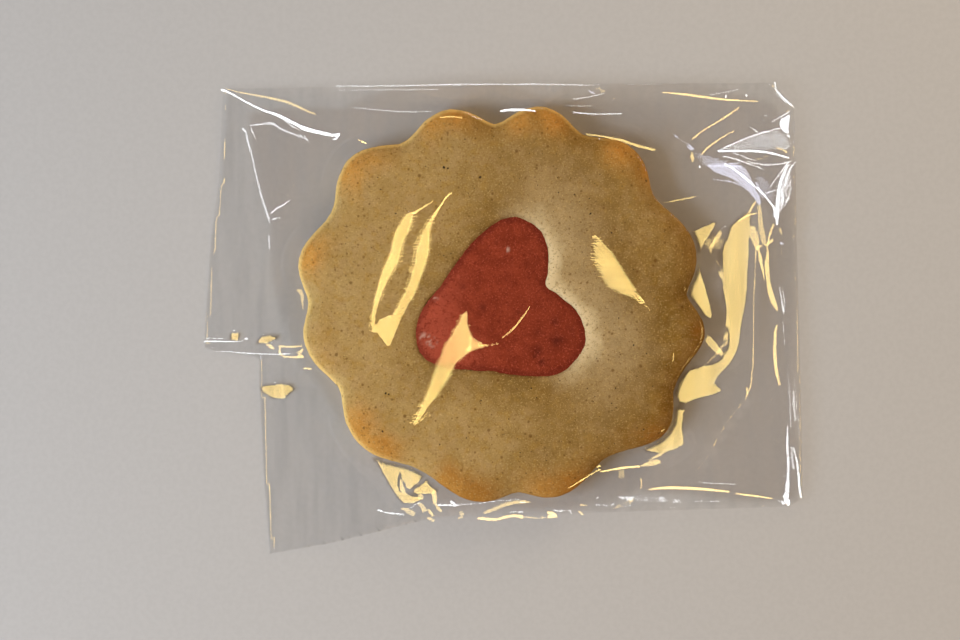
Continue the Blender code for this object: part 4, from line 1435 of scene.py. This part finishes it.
def alongPath(path, share):
    # the place, direction and width at this share of the path's length
    spots = [Vector(station[:2]) for station in path]
    steps = [(b - a).length for a, b in zip(spots, spots[1:])]
    left = share * sum(steps)
    for k, step in enumerate(steps):
        if left <= step + 1e-12 or k == len(steps) - 1:
            t = min(left / step, 1)
            width = path[k][2] * (1 - t) + path[k + 1][2] * t
            return spots[k].lerp(spots[k + 1], t), (spots[k + 1] - spots[k]).normalized(), width
        left -= step


def layCrease(pen, stations, lampName, shine):
    # a strip cut into short flat facets, each tilted so that it mirrors the lamp
    step = photo["mmPerPixel"] * mm
    path = [(*atPixel(column, row), half * step) for column, row, half in stations]
    length = sum(math.hypot(b[0] - a[0], b[1] - a[1]) for a, b in zip(path, path[1:]))
    count = max(1, round(length / mm / creases["step"]))
    last = 2 * count - 1
    strip = bmesh.ops.create_grid(pen["bm"], x_segments=last, y_segments=1, size=1)["verts"]
    facets, places = [], []
    for v in strip:
        index = round((v.co.x + 1) / 2 * last)
        share = (index // 2 + index % 2) / count
        spot, ahead, half = alongPath(path, share)
        facets.append(index // 2)
        places.append(spot + Vector((-ahead.y, ahead.x)) * math.copysign(half, v.co.y))
    facets, places = np.array(facets), np.array(places)
    middles = np.array([alongPath(path, (k + 0.5) / count)[0] for k in range(count)])
    rng = pen["rng"]
    leans = np.array([(rng.uniform(-1, 1), rng.uniform(-1, 1)) for _ in range(count)])
    tilt = mirrorSlope(middles, lampName) + creases["uneven"][lampName] * leans
    plane = ((places - middles[facets]) * tilt[facets]).sum(axis=1)
    over = sampleFilm(pen["film"], places) * mm - plane
    lift = np.array([over[facets == k].max() for k in range(count)]) + creases["above"] * mm
    for v, (x, y), z in zip(strip, places, plane + lift[facets]):
        v.co = (x, y, z)
        v[pen["shine"]] = shine * film["share"]


def layRows(pen, lampName, shine, leftReach, rightReach, outline):
    # a fold as many thin rows with uneven ends, each cut into short facets that mirror the lamp
    rng, row = pen["rng"], outline[0][0]
    rows = np.array(outline, float)
    tip, inset = creases["tip"], creases["inset"]
    while row < rows[-1, 0]:
        tall = rng.uniform(*creases["rowHeight"])
        left, right = (np.interp(row, rows[:, 0], rows[:, side]) for side in (1, 2))
        middle = row + tall / 2
        farLeft = left - leftReach * rng.uniform(*creases["rowReach"])
        farRight = right + rightReach * rng.uniform(*creases["rowReach"])
        stations = [(farLeft, middle + rng.uniform(-0.8, 0.3), tip), (left, middle, tall / 3),
                    (left + inset, middle, tall / 2), (right - inset, middle, tall / 2),
                    (right, middle, tall / 3), (farRight, middle + rng.uniform(-0.3, 0.8), tip)]
        layCrease(pen, stations, lampName, shine * rng.uniform(*creases["rowShine"]))
        row += tall


def layHairs(pen, number, side, firstRow, lastRow, reach):
    # fine teeth that grow out of one side of a fold of the sun
    hair, rng = creases["hair"], pen["rng"]
    rows = np.array(folds["sun"][number], float)
    starts = np.arange(firstRow, lastRow, hair["spacing"]) + rng.uniform(0, 1)
    for row in starts:
        row += rng.uniform(-hair["wander"], hair["wander"])
        column = np.interp(row, rows[:, 0], rows[:, 2 if side > 0 else 1])
        far = reach * rng.uniform(*hair["length"])
        lean = rng.uniform(-hair["lean"], hair["lean"]) * far
        root = (column - hair["root"] * side, row, rng.uniform(*hair["width"]))
        layCrease(pen, [root, (column + side * far, row + lean, creases["tip"])], "sun", hair["shine"])
    return len(starts)


def makeCreases(solved):
    bm = bmesh.new()
    pen = {"bm": bm, "shine": bm.verts.layers.float.new("shine"), "film": solved, "rng": random.Random(23)}
    for lampName, lines in creases["lines"].items():
        for shine, *stations in lines:
            layCrease(pen, stations, lampName, shine)
    for lampName, shine, leftReach, rightReach, *outline in creases["rows"]:
        layRows(pen, lampName, shine, leftReach, rightReach, outline)
    hairs = sum(layHairs(pen, *place) for place in creases["hairs"])
    bmesh.ops.recalc_face_normals(bm, faces=bm.faces)
    material, tree = newMaterial("sharpCrease")
    filmShader(tree, filmTints["single"], attribute(tree, "shine"), creases["roughness"])
    piece = addPiece("film_creases", meshOf(bm, "film_creases"), material)
    print("creases", sum(map(len, creases["lines"].values())), "hairs", hairs, len(piece.data.vertices))


def main():
    makeCamera()
    makeLights()
    makeFloor()
    plain = makeDough()
    red = makeHeart()
    solids = [treeOf(plain), treeOf(red)]
    makeSpecks(solids[0])
    makeCreases(makeFilm(solids))


main()
